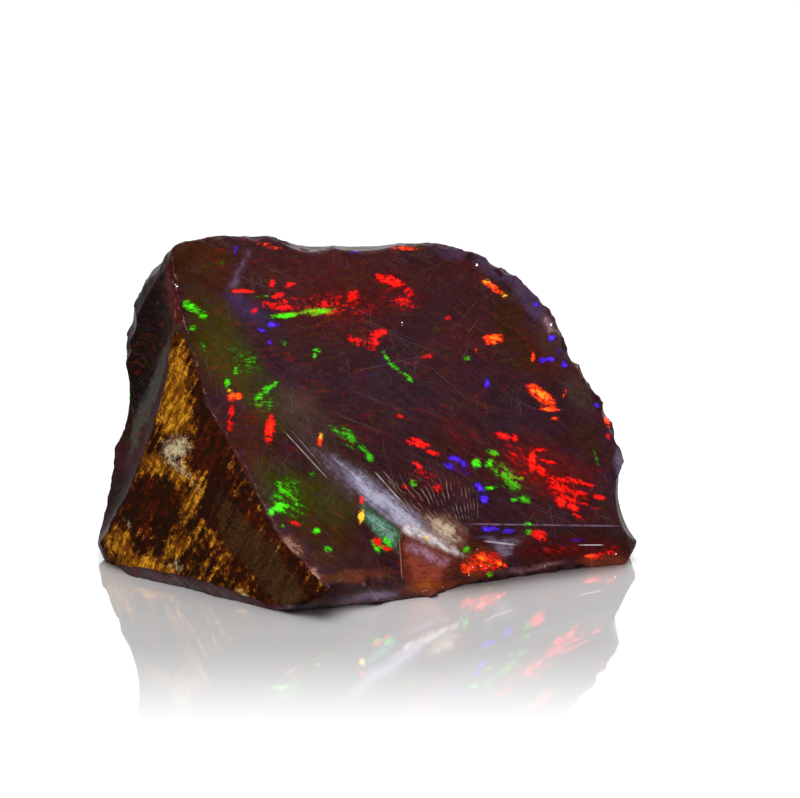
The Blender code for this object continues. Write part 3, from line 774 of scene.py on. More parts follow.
def markStone(stone):
    mesh = stone.data
    points, normals = readPoints(mesh)
    u, v = sight.fromPoints(points)
    wander = swirl(points, *markMake["swirl"])
    wideWander = swirl(points, *markMake["wideSwirl"])
    shown = ramp(sight.facing(points, normals), *markMake["seen"])
    shares = np.empty(len(points))
    mesh.attributes["rindShare"].data.foreach_get("value", shares)
    rind = np.clip(shares * markMake["rindSpread"], 0, 1)

    tone = np.tile(np.array(stoneTones["plum"]), (len(points), 1))
    patchy = wideWander[:, 0][:, None]
    tone += np.clip(patchy, 0, 1) * 0.8 * (np.array(stoneTones["oxblood"]) - tone)
    tone += np.clip(-patchy, 0, 1) * 0.9 * (np.array(stoneTones["dusk"]) - tone)
    # Painted sheen in random patches on the sides out of view.
    sheenHazeShare = np.clip(wideWander[:, 1] * 1.5 - 0.4, 0, 0.7)[:, None] * (1 - shown)[:, None]
    tone += sheenHazeShare * (np.array(stoneTones["sheenHaze"]) - tone)
    ragged = swirl(points, *markMake["raggedSwirl"])
    looseU = u + wander[:, 0] + wideWander[:, 1] * 0.3 + ragged[:, 0]
    looseV = v + wander[:, 2] + wideWander[:, 2] * 0.3 + ragged[:, 2]
    for colour, *oval in toneZones.values():
        cover = oval[-1] * ramp(ovalField(looseU, looseV, oval) / oval[-1], *markMake["zoneEdge"]) * shown
        tone += cover[:, None] * (np.array(stoneTones[colour]) - tone)

    fields = {name: np.zeros(len(points)) for name in fireMarks}
    tightU = u + wander[:, 0] * markMake["fireShake"]
    tightV = v + wander[:, 2] * markMake["fireShake"]
    for name, marks in fireMarks.items():
        for mark in marks.values():
            fields[name] = np.maximum(fields[name], ovalField(tightU, tightV, mark) * shown)
    bare = 1 - np.clip(shares * markMake["bareFrom"], 0, 1)
    addHiddenFire(fields, points, normals, (1 - shown) * bare)

    patches = {name: np.zeros(len(points)) for name in rindPatches}
    for name, ovals in rindPatches.items():
        for oval in ovals.values():
            patches[name] += ovalField(looseU, looseV, oval) * shown
    borderU, borderV = np.array([sight.fromPixel(*place) for place in rindBorder.values()]).T
    edgeU = np.interp(-v, -borderV, borderU) + wander[:, 0] * markMake["borderSwing"]
    leftOfBorder = ramp(edgeU, u, markMake["borderWidth"])
    topV = sight.fromPixel(0, rindTop["none"])[1]
    span = (rindTop["full"] - rindTop["none"]) * sight.pixel
    belowTop = ramp(topV + wander[:, 1] * markMake["topSwing"], v, span)
    footU, footV = np.array([sight.fromPixel(*place) for place in rindFoot.values()]).T
    footEdge = np.interp(u, footU, footV) - wander[:, 2] * markMake["footSwing"]
    aboveFoot = ramp(v, footEdge, markMake["footWidth"])
    rind *= 1 - shown * (1 - leftOfBorder * belowTop * aboveFoot)
    offSight = (1 - shown) * 0.5
    patches["ochre"] += offSight * (0.7 + wideWander[:, 2])
    patches["dark"] += offSight * (0.6 - wideWander[:, 2])

    bend = convexity(mesh, points, normals)
    keepColour(mesh, "stoneTone", (tone[:, 0], tone[:, 1], tone[:, 2]))
    keepColour(mesh, "warmFire", (fields["red"], fields["orange"], fields["yellow"]))
    keepColour(mesh, "coolFire", (fields["green"], fields["violet"], fields["white"]))
    keepColour(mesh, "rindCoat", (patches["ochre"], patches["chalk"], patches["dark"]))
    keepColour(mesh, "stoneSkin", (rind, np.clip(bend * 1.5 + 0.5, 0, 1), shown))
    keepColour(mesh, "sightPlace", (u, v, patches["bark"]))
    print("colour, fire and rind laid on the stone")


class Flow:
    # One socket of a shader, so that its maths reads as Python
    def __init__(self, tree, socket=None):
        self.tree = tree
        self.socket = socket

    def node(self, kind, settings=None, values=None, out=0):
        made = self.tree.nodes.new(kind)
        for name, value in (settings or {}).items():
            setattr(made, name, value)
        for name, value in (values or {}).items():
            if isinstance(value, Flow):
                self.tree.links.new(value.socket, made.inputs[name])
            else:
                made.inputs[name].default_value = value
        return Flow(self.tree, made.outputs[out])

    def maths(self, operation, first, second=0.0):
        return self.node("ShaderNodeMath", {"operation": operation}, {0: first, 1: second})

    def __add__(self, other):
        return self.maths("ADD", self, other)

    def __radd__(self, other):
        return self.maths("ADD", other, self)

    def __sub__(self, other):
        return self.maths("SUBTRACT", self, other)

    def __rsub__(self, other):
        return self.maths("SUBTRACT", other, self)

    def __mul__(self, other):
        return self.maths("MULTIPLY", self, other)

    def __rmul__(self, other):
        return self.maths("MULTIPLY", other, self)

    def __abs__(self):
        return self.maths("ABSOLUTE", self)

    def most(self, other):
        return self.maths("MAXIMUM", self, other)

    def least(self, other):
        return self.maths("MINIMUM", self, other)

    def rise(self, low, high):
        # 0 below low, 1 above high, smooth between
        smooth = {"interpolation_type": "SMOOTHSTEP", "clamp": True}
        return self.node("ShaderNodeMapRange", smooth, {"Value": self, "From Min": low, "From Max": high})

    def parts(self, kind="ShaderNodeSeparateColor"):
        outputs = self.node(kind, None, {0: self}).socket.node.outputs
        return [Flow(self.tree, outputs[index]) for index in range(3)]

    def between(self, first, second):
        # From the first colour at 0 to the second at 1
        return self.node("ShaderNodeMix", {"data_type": "RGBA"}, {0: self, 6: first, 7: second}, 2)

    def blend(self, other, share):
        return share.between(self, other)

    def scaled(self, factor):
        return self.node("ShaderNodeVectorMath", {"operation": "SCALE"}, {0: self, "Scale": factor})

    def moved(self, offset):
        return self.node("ShaderNodeVectorMath", {"operation": "ADD"}, {0: self, 1: offset})

    def stretched(self, turn, sizes):
        settings = {"vector_type": "TEXTURE"}  # turns first, then draws out to those sizes
        values = {"Vector": self, "Rotation": tuple(math.radians(part) for part in turn), "Scale": sizes}
        return self.node("ShaderNodeMapping", settings, values)

    def cloud(self, across, detail=2.0, rough=0.5):
        values = {"Vector": self, "Scale": 1 / across, "Detail": detail, "Roughness": rough}
        return self.node("ShaderNodeTexNoise", None, values, "Fac")

    def cells(self, across, out="Distance"):
        return self.node("ShaderNodeTexVoronoi", None, {"Vector": self, "Scale": 1 / across}, out)


def feed(surface, name, value):
    if isinstance(value, Flow):
        value.tree.links.new(value.socket, surface.inputs[name])
    else:
        surface.inputs[name].default_value = value


def paint(red, green, blue):
    return (*tint(red, green, blue), 1.0)


# Colour at the edge, halfway in and in the heart of a flash.
fireColours = {
    "green": (paint(18, 62, 4), paint(44, 150, 8), paint(62, 246, 18)),
    "violet": (paint(34, 10, 90), paint(56, 22, 190), paint(86, 54, 250)),
    "red": (paint(80, 4, 3), paint(196, 9, 6), paint(253, 40, 18)),
    "orange": (paint(132, 20, 4), paint(222, 48, 10), paint(252, 128, 30)),
    "yellow": (paint(140, 80, 10), paint(220, 170, 36), paint(255, 228, 96)),
    # White is for the painted glints.
    "white": (paint(150, 140, 146), paint(226, 220, 226), paint(250, 246, 250)),
}


# The stone's layers: lean in degrees above and below, size of a grain, heights between which
# the lean changes.
grainMake = {"upper": -4, "lower": 30, "sizes": (2.2, 1.0, 0.40), "change": (-3.6, 0.6)}

# How a flash is torn: sizes across, and levels between which each share rises.
fireMake = {
    "fine": 0.18,
    "clump": (0.36, 0.30, 0.56),
    "mist": (0.42, 0.34, 0.72),
    "coarse": 0.62,
    "tear": (3.0, 1.8, 1.25),  # weight of the coarse and of the fine tearing, and what stays without them
    "mask": (0.14, 0.80),
    "lit": (0.20, 0.90),
    "heart": (0.90, 1.9),
    "halo": (0.02, 0.80),
    "sparks": (0.62, 0.72),
    "sparksFrom": (0.05, 0.40),
    "dim": 0.22,  # how lit the halo is, between the edge and the middle colour
}


def grainFlow(place, v):
    # Level in the upper part, falling to the right in the lower part
    upper = place.stretched((0, grainMake["upper"], 0), grainMake["sizes"])
    lower = place.stretched((0, grainMake["lower"], 0), grainMake["sizes"])
    share = 1 - v.rise(*grainMake["change"])
    return place.node("ShaderNodeMix", {"data_type": "VECTOR"}, {0: share, 4: upper, 5: lower}, 1)


def fireFlow(place, grain, fields):
    # Each flash is torn along the grain, deep at its edge and bright in its heart, with sparks around it
    glow = None
    cover = None
    fine = grain.moved((0, 5, 0)).cloud(fireMake["fine"], 2.0, 0.6)
    across, *levels = fireMake["clump"]
    clump = place.cloud(across, 2.0, 0.55).rise(*levels) * 0.60 + 0.40
    across, *levels = fireMake["mist"]
    mist = grain.moved((0, 14, 0)).cloud(across, 4.0, 0.68).rise(*levels) * 0.72 + 0.08
    tearCoarse, tearFine, tearLeft = fireMake["tear"]
    for step, (name, field) in enumerate(fields.items()):
        edge, middle, heart = fireColours[name]
        # White marks are painted glints: sharp points of light.
        if name == "white":
            points = 1 - place.cells(0.28).rise(0.14, 0.26)
            points = points * place.moved((8, 8, 8)).cloud(0.4).rise(0.46, 0.56) * field.rise(0.16, 0.34)
            mask = points.most(field.rise(0.80, 0.95))
            glow = glow.blend(heart, mask)
            cover = cover.most(mask)
            continue
        coarse = grain.moved((step * 17.3, 0, step * 5.1)).cloud(fireMake["coarse"], 2.0, 0.6) - 0.5
        torn = field * clump * (coarse * tearCoarse + (fine - 0.5) * tearFine + tearLeft)
        mask = torn.rise(*fireMake["mask"])
        shade = torn.rise(*fireMake["lit"]).between(edge, middle).blend(heart, torn.rise(*fireMake["heart"]))
        halo = field.rise(*fireMake["halo"]) * mist
        sparks = fine.rise(*fireMake["sparks"]) * field.rise(*fireMake["sparksFrom"]) * 0.7
        dim = tuple(outer + (inner - outer) * fireMake["dim"] for outer, inner in zip(edge, middle))
        washed = mask.between(dim, shade).blend(middle, sparks * (1 - mask))
        share = mask.most(halo).most(sparks)
        glow = washed.scaled(share) if glow is None else glow.blend(washed, share)
        cover = share if cover is None else cover.most(share)
    return glow, cover


pinFire = {"red": paint(150, 30, 14), "green": paint(48, 110, 22), "across": 0.16, "share": 0.30}


def pinFlow(place):
    # Pin fire: grains too small and dim to be flashes
    chance, choice = place.cells(pinFire["across"], "Color").parts()[:2]
    dots = 1 - place.cells(pinFire["across"]).rise(0.20, 0.50)
    clouds = place.moved((0, 30, 0)).cloud(2.6, 3.0).rise(0.40, 0.66)
    colour = choice.rise(0.55, 0.60).between(pinFire["red"], pinFire["green"])
    return colour, chance.rise(0.80, 0.92) * dots * clouds * pinFire["share"]


# Thin lines on the broken face, scratches and painted highlight lines: pixel ends, half width in mm, colour,
# share.
scratchAndHighlightLines = {
    "longLeft": ((284, 431), (327, 478), 0.028, paint(190, 184, 190), 0.65),
    "longRight": ((291, 430), (322, 466), 0.020, paint(170, 164, 170), 0.45),
    "bandLeft": ((375, 472), (401, 501), 0.030, paint(215, 215, 222), 0.65),
    "bandRight": ((383, 471), (403, 493), 0.020, paint(190, 190, 198), 0.45),
    "scarRim": ((399, 534), (402, 579), 0.040, paint(156, 128, 116), 0.55),
    # crease and ledgeGlow are painted highlights where the crease and the ledge catch the light.
    "crease": ((464, 524), (622, 526), 0.06, paint(120, 96, 124), 0.75),
    "ledgeScratch": ((578, 545), (604, 545), 0.035, paint(230, 225, 230), 0.8),
    "ledgeGlow": ((484, 541), (516, 545), 0.07, paint(200, 186, 204), 0.8),
    "faceHair": ((352, 372), (440, 352), 0.018, paint(110, 92, 98), 0.35),
    "faceHairLow": ((398, 338), (470, 402), 0.018, paint(104, 88, 94), 0.35),
    "faceHairTop": ((452, 330), (478, 300), 0.018, paint(104, 88, 94), 0.35),
    "toeLine": ((116, 514), (136, 530), 0.05, paint(190, 200, 170), 0.8),
}

hackleFan = {
    "centre": (487, 605),  # pixel where the lines would meet
    "near": (7.2, 1.2),  # mm from the centre where they start at the low side, and its growth with the angle
    "far": (9.5, 8.0),
    "sweep": (94.0, 139.0),  # degrees round the centre, from the right
    "lines": 22,
    "softEnds": 0.03,
    "colour": paint(164, 138, 122),
    "share": 0.6,
}

# The pale worn line along the rind's border.
borderLine = {"halfWidth": 0.035, "swing": 0.9, "colour": paint(122, 92, 82), "share": 0.6}


# Where a stroke fades, in half widths at its sides and in lengths from its middle at its ends.
strokeFade = {"side": (0.4, 1.8), "end": (0.35, 0.55)}


def strokeMask(u, v, ends, halfWidth):
    (startU, startV), (endU, endV) = (sight.fromPixel(*end) for end in ends)
    long = math.hypot(endU - startU, endV - startV)
    runU, runV = (endU - startU) / long, (endV - startV) / long
    along = abs((u - (startU + endU) / 2) * runU + (v - (startV + endV) / 2) * runV)
    side = abs((v - startV) * runU - (u - startU) * runV)
    sideFade = side.rise(*(halfWidth * part for part in strokeFade["side"]))
    endFade = along.rise(*(long * part for part in strokeFade["end"]))
    return (1 - sideFade) * (1 - endFade)


def lineFlow(base, place, u, v, shown):
    # Scratches and painted highlight lines, broken here and there, and the worn line along the rind
    breaks = place.cloud(0.9, 2.0).rise(0.30, 0.55)
    for start, end, halfWidth, colour, share in scratchAndHighlightLines.values():
        mask = strokeMask(u, v, (start, end), halfWidth) * share * (0.35 + 0.65 * breaks) * shown
        base = base.blend(colour, mask)
    corners = list(rindBorder.values())
    swing = (place.cloud(0.9, 2.0) - 0.5) * borderLine["swing"]
    lumps = place.moved((3, 3, 3)).cloud(0.6, 2.0).rise(0.40, 0.64)
    for start, end in zip(corners, corners[1:]):
        pale = strokeMask(u + swing, v, (start, end), borderLine["halfWidth"]) * lumps * shown
        base = base.blend(borderLine["colour"], pale * borderLine["share"])
    return base


def hackleFlow(u, v, place, shown):
    centreU, centreV = sight.fromPixel(*hackleFan["centre"])
    low, high = (math.radians(side) for side in hackleFan["sweep"])
    offU, offV = u - centreU, v - centreV
    angle = offU.maths("ARCTAN2", offV, offU) + (place.cloud(2.2, 3.0) - 0.5) * 0.09
    reach = offU.maths("SQRT", offU * offU + offV * offV) + (place.cloud(0.5) - 0.5) * 3.0
    steps = (angle - low) * (hackleFan["lines"] / (high - low))
    line = abs(steps.maths("FRACT", steps) - 0.5)
    soft = hackleFan["softEnds"]
    inside = angle.rise(low, low + soft) * (1 - angle.rise(high - soft, high))
    start, finish = ((angle - low) * grow + first for first, grow in (hackleFan["near"], hackleFan["far"]))
    height = (reach - start).rise(0, 0.7) * (1 - (reach - finish).rise(-1.4, 0.3))
    broken = place.moved((1, 1, 1)).cloud(0.8, 3.0).rise(0.38, 0.62)
    return (1 - line.rise(0.01, 0.15)) * inside * height * shown * broken


# Small facets with flat sides, on the side that the photograph shows: corners in pixels, softness of the
# edge in mm, colour at the edge and in the middle, mm from edge to middle, lean of the streaks, share.
smallFacets = {
    # wedge and wedgeFan are painted sheen, soft reflected light on the upper left of the face.
    "wedge": (
        ((247, 247), (253, 250), (237, 291), (222, 293)),
        0.25, paint(66, 44, 62), paint(92, 74, 98), 0.5, 60, 0.6,
    ),
    "wedgeFan": (
        ((220, 294), (238, 290), (272, 312), (266, 332), (242, 320)),
        0.4, paint(46, 32, 58), paint(62, 48, 88), 1.2, -40, 0.7,
    ),
    # bandHalo, band and bandTail are the milky band along the ridge, with a painted reflection of a soft
    # light on it.
    "bandHalo": (
        ((286, 420), (372, 470), (428, 514), (400, 528), (356, 508), (320, 478)),
        0.6, paint(62, 46, 36), paint(104, 90, 110), 1.8, -40, 0.8,
    ),
    "band": (
        ((330, 453), (366, 474), (420, 515), (452, 546), (408, 534), (362, 501)),
        0.22, paint(104, 92, 112), paint(162, 162, 184), 0.9, -40, 0.95,
    ),
    "creamKnot": (
        ((424, 513), (450, 516), (466, 528), (466, 547), (446, 548), (424, 530)),
        0.45, paint(112, 76, 62), paint(208, 188, 160), 1.2, -40, 0.7,
    ),
    # scoopGleam is a painted glint of blue light in the scoop.
    "scoopGleam": (
        ((423, 551), (434, 555), (438, 563), (427, 561)),
        0.12, paint(120, 98, 140), paint(190, 190, 236), 0.3, -40, 0.85,
    ),
    "jade": (
        ((360, 499), (392, 523), (401, 534), (398, 554), (384, 543), (364, 520)),
        0.22, paint(48, 88, 62), paint(124, 160, 148), 0.9, -40, 0.92,
    ),
    "scoop": (
        ((400, 533), (426, 539), (464, 556), (456, 572), (448, 586), (424, 594), (403, 580), (397, 554)),
        0.14, paint(80, 30, 20), paint(126, 56, 40), 1.2, 0, 0.95,
    ),
    # scoopSheen is a painted sheen over the scoop's warm colour.
    "scoopSheen": (
        ((405, 537), (432, 546), (456, 560), (446, 568), (424, 564), (404, 550)),
        0.22, paint(110, 56, 54), paint(146, 118, 142), 0.8, -40, 0.7,
    ),
    "scoopFoot": (
        ((404, 568), (430, 577), (452, 572), (446, 588), (424, 593), (406, 581)),
        0.25, paint(112, 48, 18), paint(156, 80, 30), 0.8, 0, 0.8,
    ),
    # The tail of the milky band, with its painted reflection.
    "bandTail": (
        ((402, 520), (430, 530), (468, 556), (462, 559), (428, 545), (401, 533)),
        0.16, paint(150, 128, 124), paint(214, 206, 206), 0.5, -40, 0.8,
    ),
    "kneeLump": (
        ((279, 534), (291, 533), (306, 549), (304, 558), (290, 556), (280, 546)),
        0.25, paint(84, 40, 28), paint(140, 98, 86), 0.6, -40, 0.85,
    ),
    "footLump": (
        ((308, 567), (316, 567), (323, 578), (319, 585), (310, 578)),
        0.12, paint(92, 48, 40), paint(160, 116, 108), 0.35, -40, 0.85,
    ),
    "hipLump": (
        ((249, 491), (256, 495), (257, 508), (250, 506)),
        0.10, paint(92, 68, 66), paint(176, 160, 160), 0.25, -40, 0.9,
    ),
    "rimDarkLeft": (
        ((461, 257), (471, 251), (480, 258), (470, 264)),
        0.12, paint(40, 14, 10), paint(28, 8, 5), 0.4, 0, 0.9,
    ),
    "rimDarkRight": (
        ((492, 269), (502, 265), (509, 272), (500, 278)),
        0.12, paint(44, 14, 10), paint(28, 8, 5), 0.4, 0, 0.9,
    ),
    # rimShoulder and rimHip are painted pinkish highlights on the chips of the right rim.
    "rimShoulder": (
        ((541, 312), (553, 318), (556, 334), (548, 336), (542, 326)),
        0.15, paint(96, 60, 66), paint(150, 118, 128), 0.4, 0, 0.7,
    ),
    "rimHip": (
        ((568, 348), (580, 352), (590, 374), (582, 378), (572, 364)),
        0.15, paint(84, 50, 56), paint(140, 112, 122), 0.4, 0, 0.7,
    ),
    "ledgeBite": (
        ((488, 541), (517, 541), (514, 556), (502, 561), (492, 553)),
        0.15, paint(70, 44, 52), paint(128, 112, 138), 0.6, 0, 0.8,
    ),
}


def facetGap(spot, corners):
    # Millimetres inside a flat-sided outline on the sight plane, below zero outside it
    places = [Vector(sight.fromPixel(*corner)) for corner in corners]
    middle = sum(places, Vector((0, 0))) / len(places)
    gap = None
    for start, end in zip(places, places[1:] + places[:1]):
        run = (end - start).normalized()
        inward = Vector((-run.y, run.x))
        if inward.dot(middle - start) < 0:
            inward.negate()
        reach = {0: spot, 1: (*inward, 0)}
        side = spot.node("ShaderNodeVectorMath", {"operation": "DOT_PRODUCT"}, reach, "Value")
        side = side - inward.dot(start)
        gap = side if gap is None else gap.least(side)
    return gap


facetMake = {
    "shake": (1.6, 0.8),  # how often an edge swings, per mm, and how wide in mm
    "streak": (2.4, 1.0, 0.20),
    "streakWeight": 1.5,
    "crumbWeight": 1.3,
    "blotchWeight": 1.4,
}


def facetFlow(base, place, u, v, shown):
    # Each facet is streaked along its lean and blotched, with a soft uneven edge
    often, wide = facetMake["shake"]
    shake = place.node("ShaderNodeTexNoise", None, {"Vector": place, "Scale": often, "Detail": 3.0}, "Color")
    flat = place.node("ShaderNodeCombineXYZ", None, {0: u, 1: v, 2: 0.0})
    shaken = {0: shake, 1: (wide, wide, 0), 2: flat}
    spot = flat.node("ShaderNodeVectorMath", {"operation": "MULTIPLY_ADD"}, shaken)
    spot = spot.moved((-wide / 2, -wide / 2, 0))
    crumb = place.cloud(0.22, 3.0, 0.7)
    blotch = place.moved((4, 4, 4)).cloud(0.8, 3.0, 0.6)
    streaks = {}
    for corners, soft, edge, heart, deep, lean, share in smallFacets.values():
        gap = facetGap(spot, corners)
        if lean not in streaks:
            streaks[lean] = place.stretched((0, -lean, 0), facetMake["streak"]).cloud(1.0, 3.0, 0.68)
        streak = streaks[lean]
        uneven = (streak - 0.5) * facetMake["streakWeight"] + (crumb - 0.5) * facetMake["crumbWeight"]
        uneven = uneven + (blotch - 0.5) * facetMake["blotchWeight"]
        colour = (gap.rise(0, deep) * 0.7 + uneven).rise(0, 1).between(edge, heart)
        worn = 0.60 + 0.40 * (streak * 0.5 + blotch * 0.5).rise(0.36, 0.52)
        base = base.blend(colour, gap.rise(-soft, soft * 1.4) * share * shown * worn)
    return base


# How the bare opal is finished.
opalFinish = {
    "gloss": 0.20,
    "dullSpots": 0.16,
    "shine": 0.08,
    "refraction": 1.45,
    "dust": paint(128, 116, 122),
    "wornEdge": paint(176, 140, 132),
    "wornShare": 0.20,
    # Clouds of dull fire below the skin: offset, colour, share
    "mists": ((40, paint(118, 20, 8), 0.48), (50, paint(62, 50, 4), 0.62), (60, paint(46, 34, 74), 0.40)),
    "hairs": ((24, 3.0), (-52, 11.0), (78, 23.0)),  # lean in degrees and offset of each set of fine scratches
    "bump": (0.55, 0.55),  # strength, and depth in mm
    # The inner glow is painted light, given out by emission.
    "innerGlow": 0.12,  # how much of its own colour shines from within
}

# How the rind is finished.
rindFinish = {
    "rough": 0.82,
    "wine": paint(66, 16, 3),
    "dark": paint(30, 12, 3),
    "bark": paint(66, 42, 20),
    "ochre": paint(96, 50, 3),
    "gold": paint(202, 140, 32),
    "chalk": paint(178, 164, 128),
    "crack": paint(16, 7, 3),
    "chalkShare": 0.85,
    "crackShare": 0.75,
}


def bodyFlow(place, grain, tone, bend):
    # Bare opal: cloudy depth, dust in fine scratches, pale worn edges
    cloudy = place.cloud(2.2, 4.0, 0.6)
    fine = place.cloud(0.35, 3.0, 0.65)
    layers = place.stretched((0, 35, 0), (3.4, 1.6, 0.42)).cloud(1.0, 4.0, 0.62)
    streaks = place.stretched((0, 38, 0), (2.6, 0.9, 0.13)).cloud(1.0, 3.0, 0.6)
    base = tone.scaled(cloudy * 0.70 + fine * 0.90 + layers * 1.00 + streaks * 1.00 - 0.80)
    for offset, colour, share in opalFinish["mists"]:
        mist = grain.moved((0, offset, 0)).cloud(0.8, 4.0, 0.70).rise(0.50, 0.74)
        where = place.moved((0, offset, 3)).cloud(3.2, 2.0).rise(0.40, 0.60)
        base = base.blend(colour, mist * where * share)
    hair = None
    for turn, offset in opalFinish["hairs"]:
        streaky = place.moved((offset, 0, offset)).stretched((0, turn, 0), (8.0, 1.4, 0.10))
        thin = streaky.cloud(1.0, 1.0).rise(0.66, 0.74)
        hair = thin if hair is None else hair.most(thin)
    patch = place.moved((0, 7, 0)).cloud(4.0, 1.0).rise(0.42, 0.62)
    hair = hair * patch
    specks = 1 - place.cells(0.55).rise(0.05, 0.09)
    chosen = place.moved((5, 5, 5)).cloud(1.5).rise(0.50, 0.62)
    dust = (hair * 0.12).most(specks * chosen * 0.24)
    base = base.blend(opalFinish["dust"], dust)
    ragged = place.cloud(0.5, 3.0, 0.6)
    worn = (bend + (ragged - 0.5) * 0.30).rise(0.70, 0.90)
    base = base.blend(opalFinish["wornEdge"], worn * opalFinish["wornShare"])
    return base, dust, worn


def rindFlow(place, ochre, chalk, dark, bark):
    # Weathered rind: wine-brown ground, ochre crust in patches, chalk in its heart, cracks between
    broad = place.cloud(2.4, 4.0, 0.62)
    crumb = place.cloud(0.55, 4.0, 0.7)
    grit = place.cloud(0.16, 3.0, 0.6)
    grain = place.stretched((0, -62, 0), (3.0, 1.2, 0.4)).cloud(1.0, 4.0, 0.62)
    base = (broad + grain - 1.0 + (crumb - 0.5)).rise(-0.14, 0.22)
    base = base.between(rindFinish["dark"], rindFinish["wine"])
    uneven = (broad - 0.5) * 1.3 + (crumb - 0.5) * 1.8 + (grain - 0.5) * 1.6
    barkShare = (bark + (crumb - 0.5) * 0.9 + (broad - 0.5) * 0.8).rise(0.22, 0.75)
    barkTone = (grit * 0.6 + grain * 0.7).rise(0.40, 0.86).between(rindFinish["dark"], rindFinish["bark"])
    base = base.blend(barkTone, barkShare)
    crust = (ochre * 0.95 - dark * 0.75 - bark * 0.8 + uneven + 0.02).rise(-0.02, 0.62)
    golden = (ochre * 0.35 + (crumb - 0.5) * 2.6 + (grit - 0.5) * 1.2 + (grain - 0.5) * 3.0).rise(0.05, 1.2)
    base = base.blend(golden.between(rindFinish["ochre"], rindFinish["gold"]), crust)
    chalky = (chalk + (crumb - 0.5) * 1.6 + (grit - 0.5) * 0.8).rise(0.30, 1.05)
    base = base.blend(rindFinish["chalk"], chalky * rindFinish["chalkShare"])
    seam = abs(place.moved((2, 2, 2)).cloud(1.5, 3.0, 0.6) - 0.5)
    cracks = (1 - seam.rise(0.004, 0.030)) * place.cloud(2.2).rise(0.46, 0.62)
    base = base.blend(rindFinish["crack"], cracks * rindFinish["crackShare"])
    base = base.scaled(0.45 + grit * 0.65 + crumb * 0.42)
    height = broad * 0.5 + crumb * 0.38 + grit * 0.15 - cracks * 0.2
    return base, height


def opalMaterial():
    material = bpy.data.materials.new("opal_and_rind")
    material.use_nodes = True
    flow = Flow(material.node_tree)
    surface = material.node_tree.nodes["Principled BSDF"]

    def stored(name):
        return flow.node("ShaderNodeAttribute", {"attribute_name": name}, None, "Color")

    place = flow.node("ShaderNodeTexCoord", None, None, "Object").scaled(1 / mm)
    tone = stored("stoneTone")
    red, orange, yellow = stored("warmFire").parts()
    green, violet, white = stored("coolFire").parts()
    ochre, chalk, dark = stored("rindCoat").parts()
    rind, bend, shown = stored("stoneSkin").parts()
    u, v, bark = stored("sightPlace").parts()

    grain = grainFlow(place, v)
    base, dust, worn = bodyFlow(place, grain, tone, bend)
    base = facetFlow(base, place, u, v, shown)
    base = lineFlow(base, place, u, v, shown)
    base = base.blend(hackleFan["colour"], hackleFlow(u, v, place, shown) * hackleFan["share"])
    fields = {"green": green, "violet": violet, "red": red, "orange": orange}
    fields |= {"yellow": yellow, "white": white}
    glow, cover = fireFlow(place, grain, fields)
    rindBase, rindHeight = rindFlow(place, ochre, chalk, dark, bark)
    frayed = (rind + (place.cloud(0.7, 4.0, 0.65) - 0.5) * 0.9).rise(0.38, 0.58)

    colour, pins = pinFlow(place)
    skin = base.blend(glow, cover * 0.6).blend(rindBase, frayed)
    # Emission paints glow: the fire, the pin fire and a little of the body colour give light, though the
    # stone is no lamp.
    inner = base.scaled(opalFinish["innerGlow"]).blend(colour, pins).blend(glow, cover)
    feed(surface, "Base Color", skin)
    feed(surface, "Emission Color", inner.blend((0, 0, 0, 1), frayed))
    feed(surface, "Emission Strength", 1.0)
    dull = opalFinish["gloss"] + place.cloud(1.1, 3.0, 0.6) * opalFinish["dullSpots"]
    dull = dull + dust * 0.3 + worn * 0.15
    feed(surface, "Roughness", dull * (1 - frayed) + frayed * rindFinish["rough"])
    feed(surface, "IOR", opalFinish["refraction"])
    feed(surface, "Specular IOR Level", opalFinish["shine"])

    ripple = place.cloud(1.8, 2.0) * 0.22 + place.cloud(0.30, 3.0) * 0.045
    bareHeight = ripple + abs(bend - 0.5) * place.cloud(0.18, 2.0) * 0.10
    height = bareHeight * (1 - frayed) + (rindHeight + 0.25) * frayed
    strength, deep = opalFinish["bump"]
    bump = {"Height": height, "Strength": strength, "Distance": deep * mm}
    feed(surface, "Normal", flow.node("ShaderNodeBump", None, bump, "Normal"))
    material.cycles.emission_sampling = "NONE"
    return material


# The studio: a white floor with a soft mirror in it, a pale backdrop behind, one large soft light above
# and a front fill for the stone alone.
studio = {
    "floorSize": 4.0,
    "floorDrop": 0.00002,  # how far the floor lies below the foot of the stone
    "floorWhite": 0.94,
    "mirrorRough": 0.04,
    "mirror": 0.50,
    "dim": 0.1,  # how white the floor is where the stone mirrors it, as a share
    "mirrorEnds": (-0.020, -0.041),  # where along Y the mirror starts to fade and is gone
    "softLight": {"place": (-0.02, 0.03, 0.36), "size": 0.24, "power": 0.35},
    "frontFill": {"place": (-0.13, -0.30, 0.15), "size": 0.16, "power": 0.95},
    "behind": 1.1,
    "inFront": 0.10,
    "above": 2.3,
    "leftShade": 0.85,  # how much darker the air is behind the left end, which the smooth hollow mirrors
    "leftFrom": (0.35, 0.70),
    "behindFrom": (-0.1, 0.5),
    "aboveFrom": (0.80, 0.97),
    "backdrop": 1.05,
    "lightAim": (0.0, 0.0, 0.012),
}


def emptyFlow(owner):
    owner.use_nodes = True
    owner.node_tree.nodes.clear()
    return Flow(owner.node_tree)


def finishFlow(shader, kind):
    output = shader.tree.nodes.new(kind)
    shader.tree.links.new(shader.socket, output.inputs["Surface"])


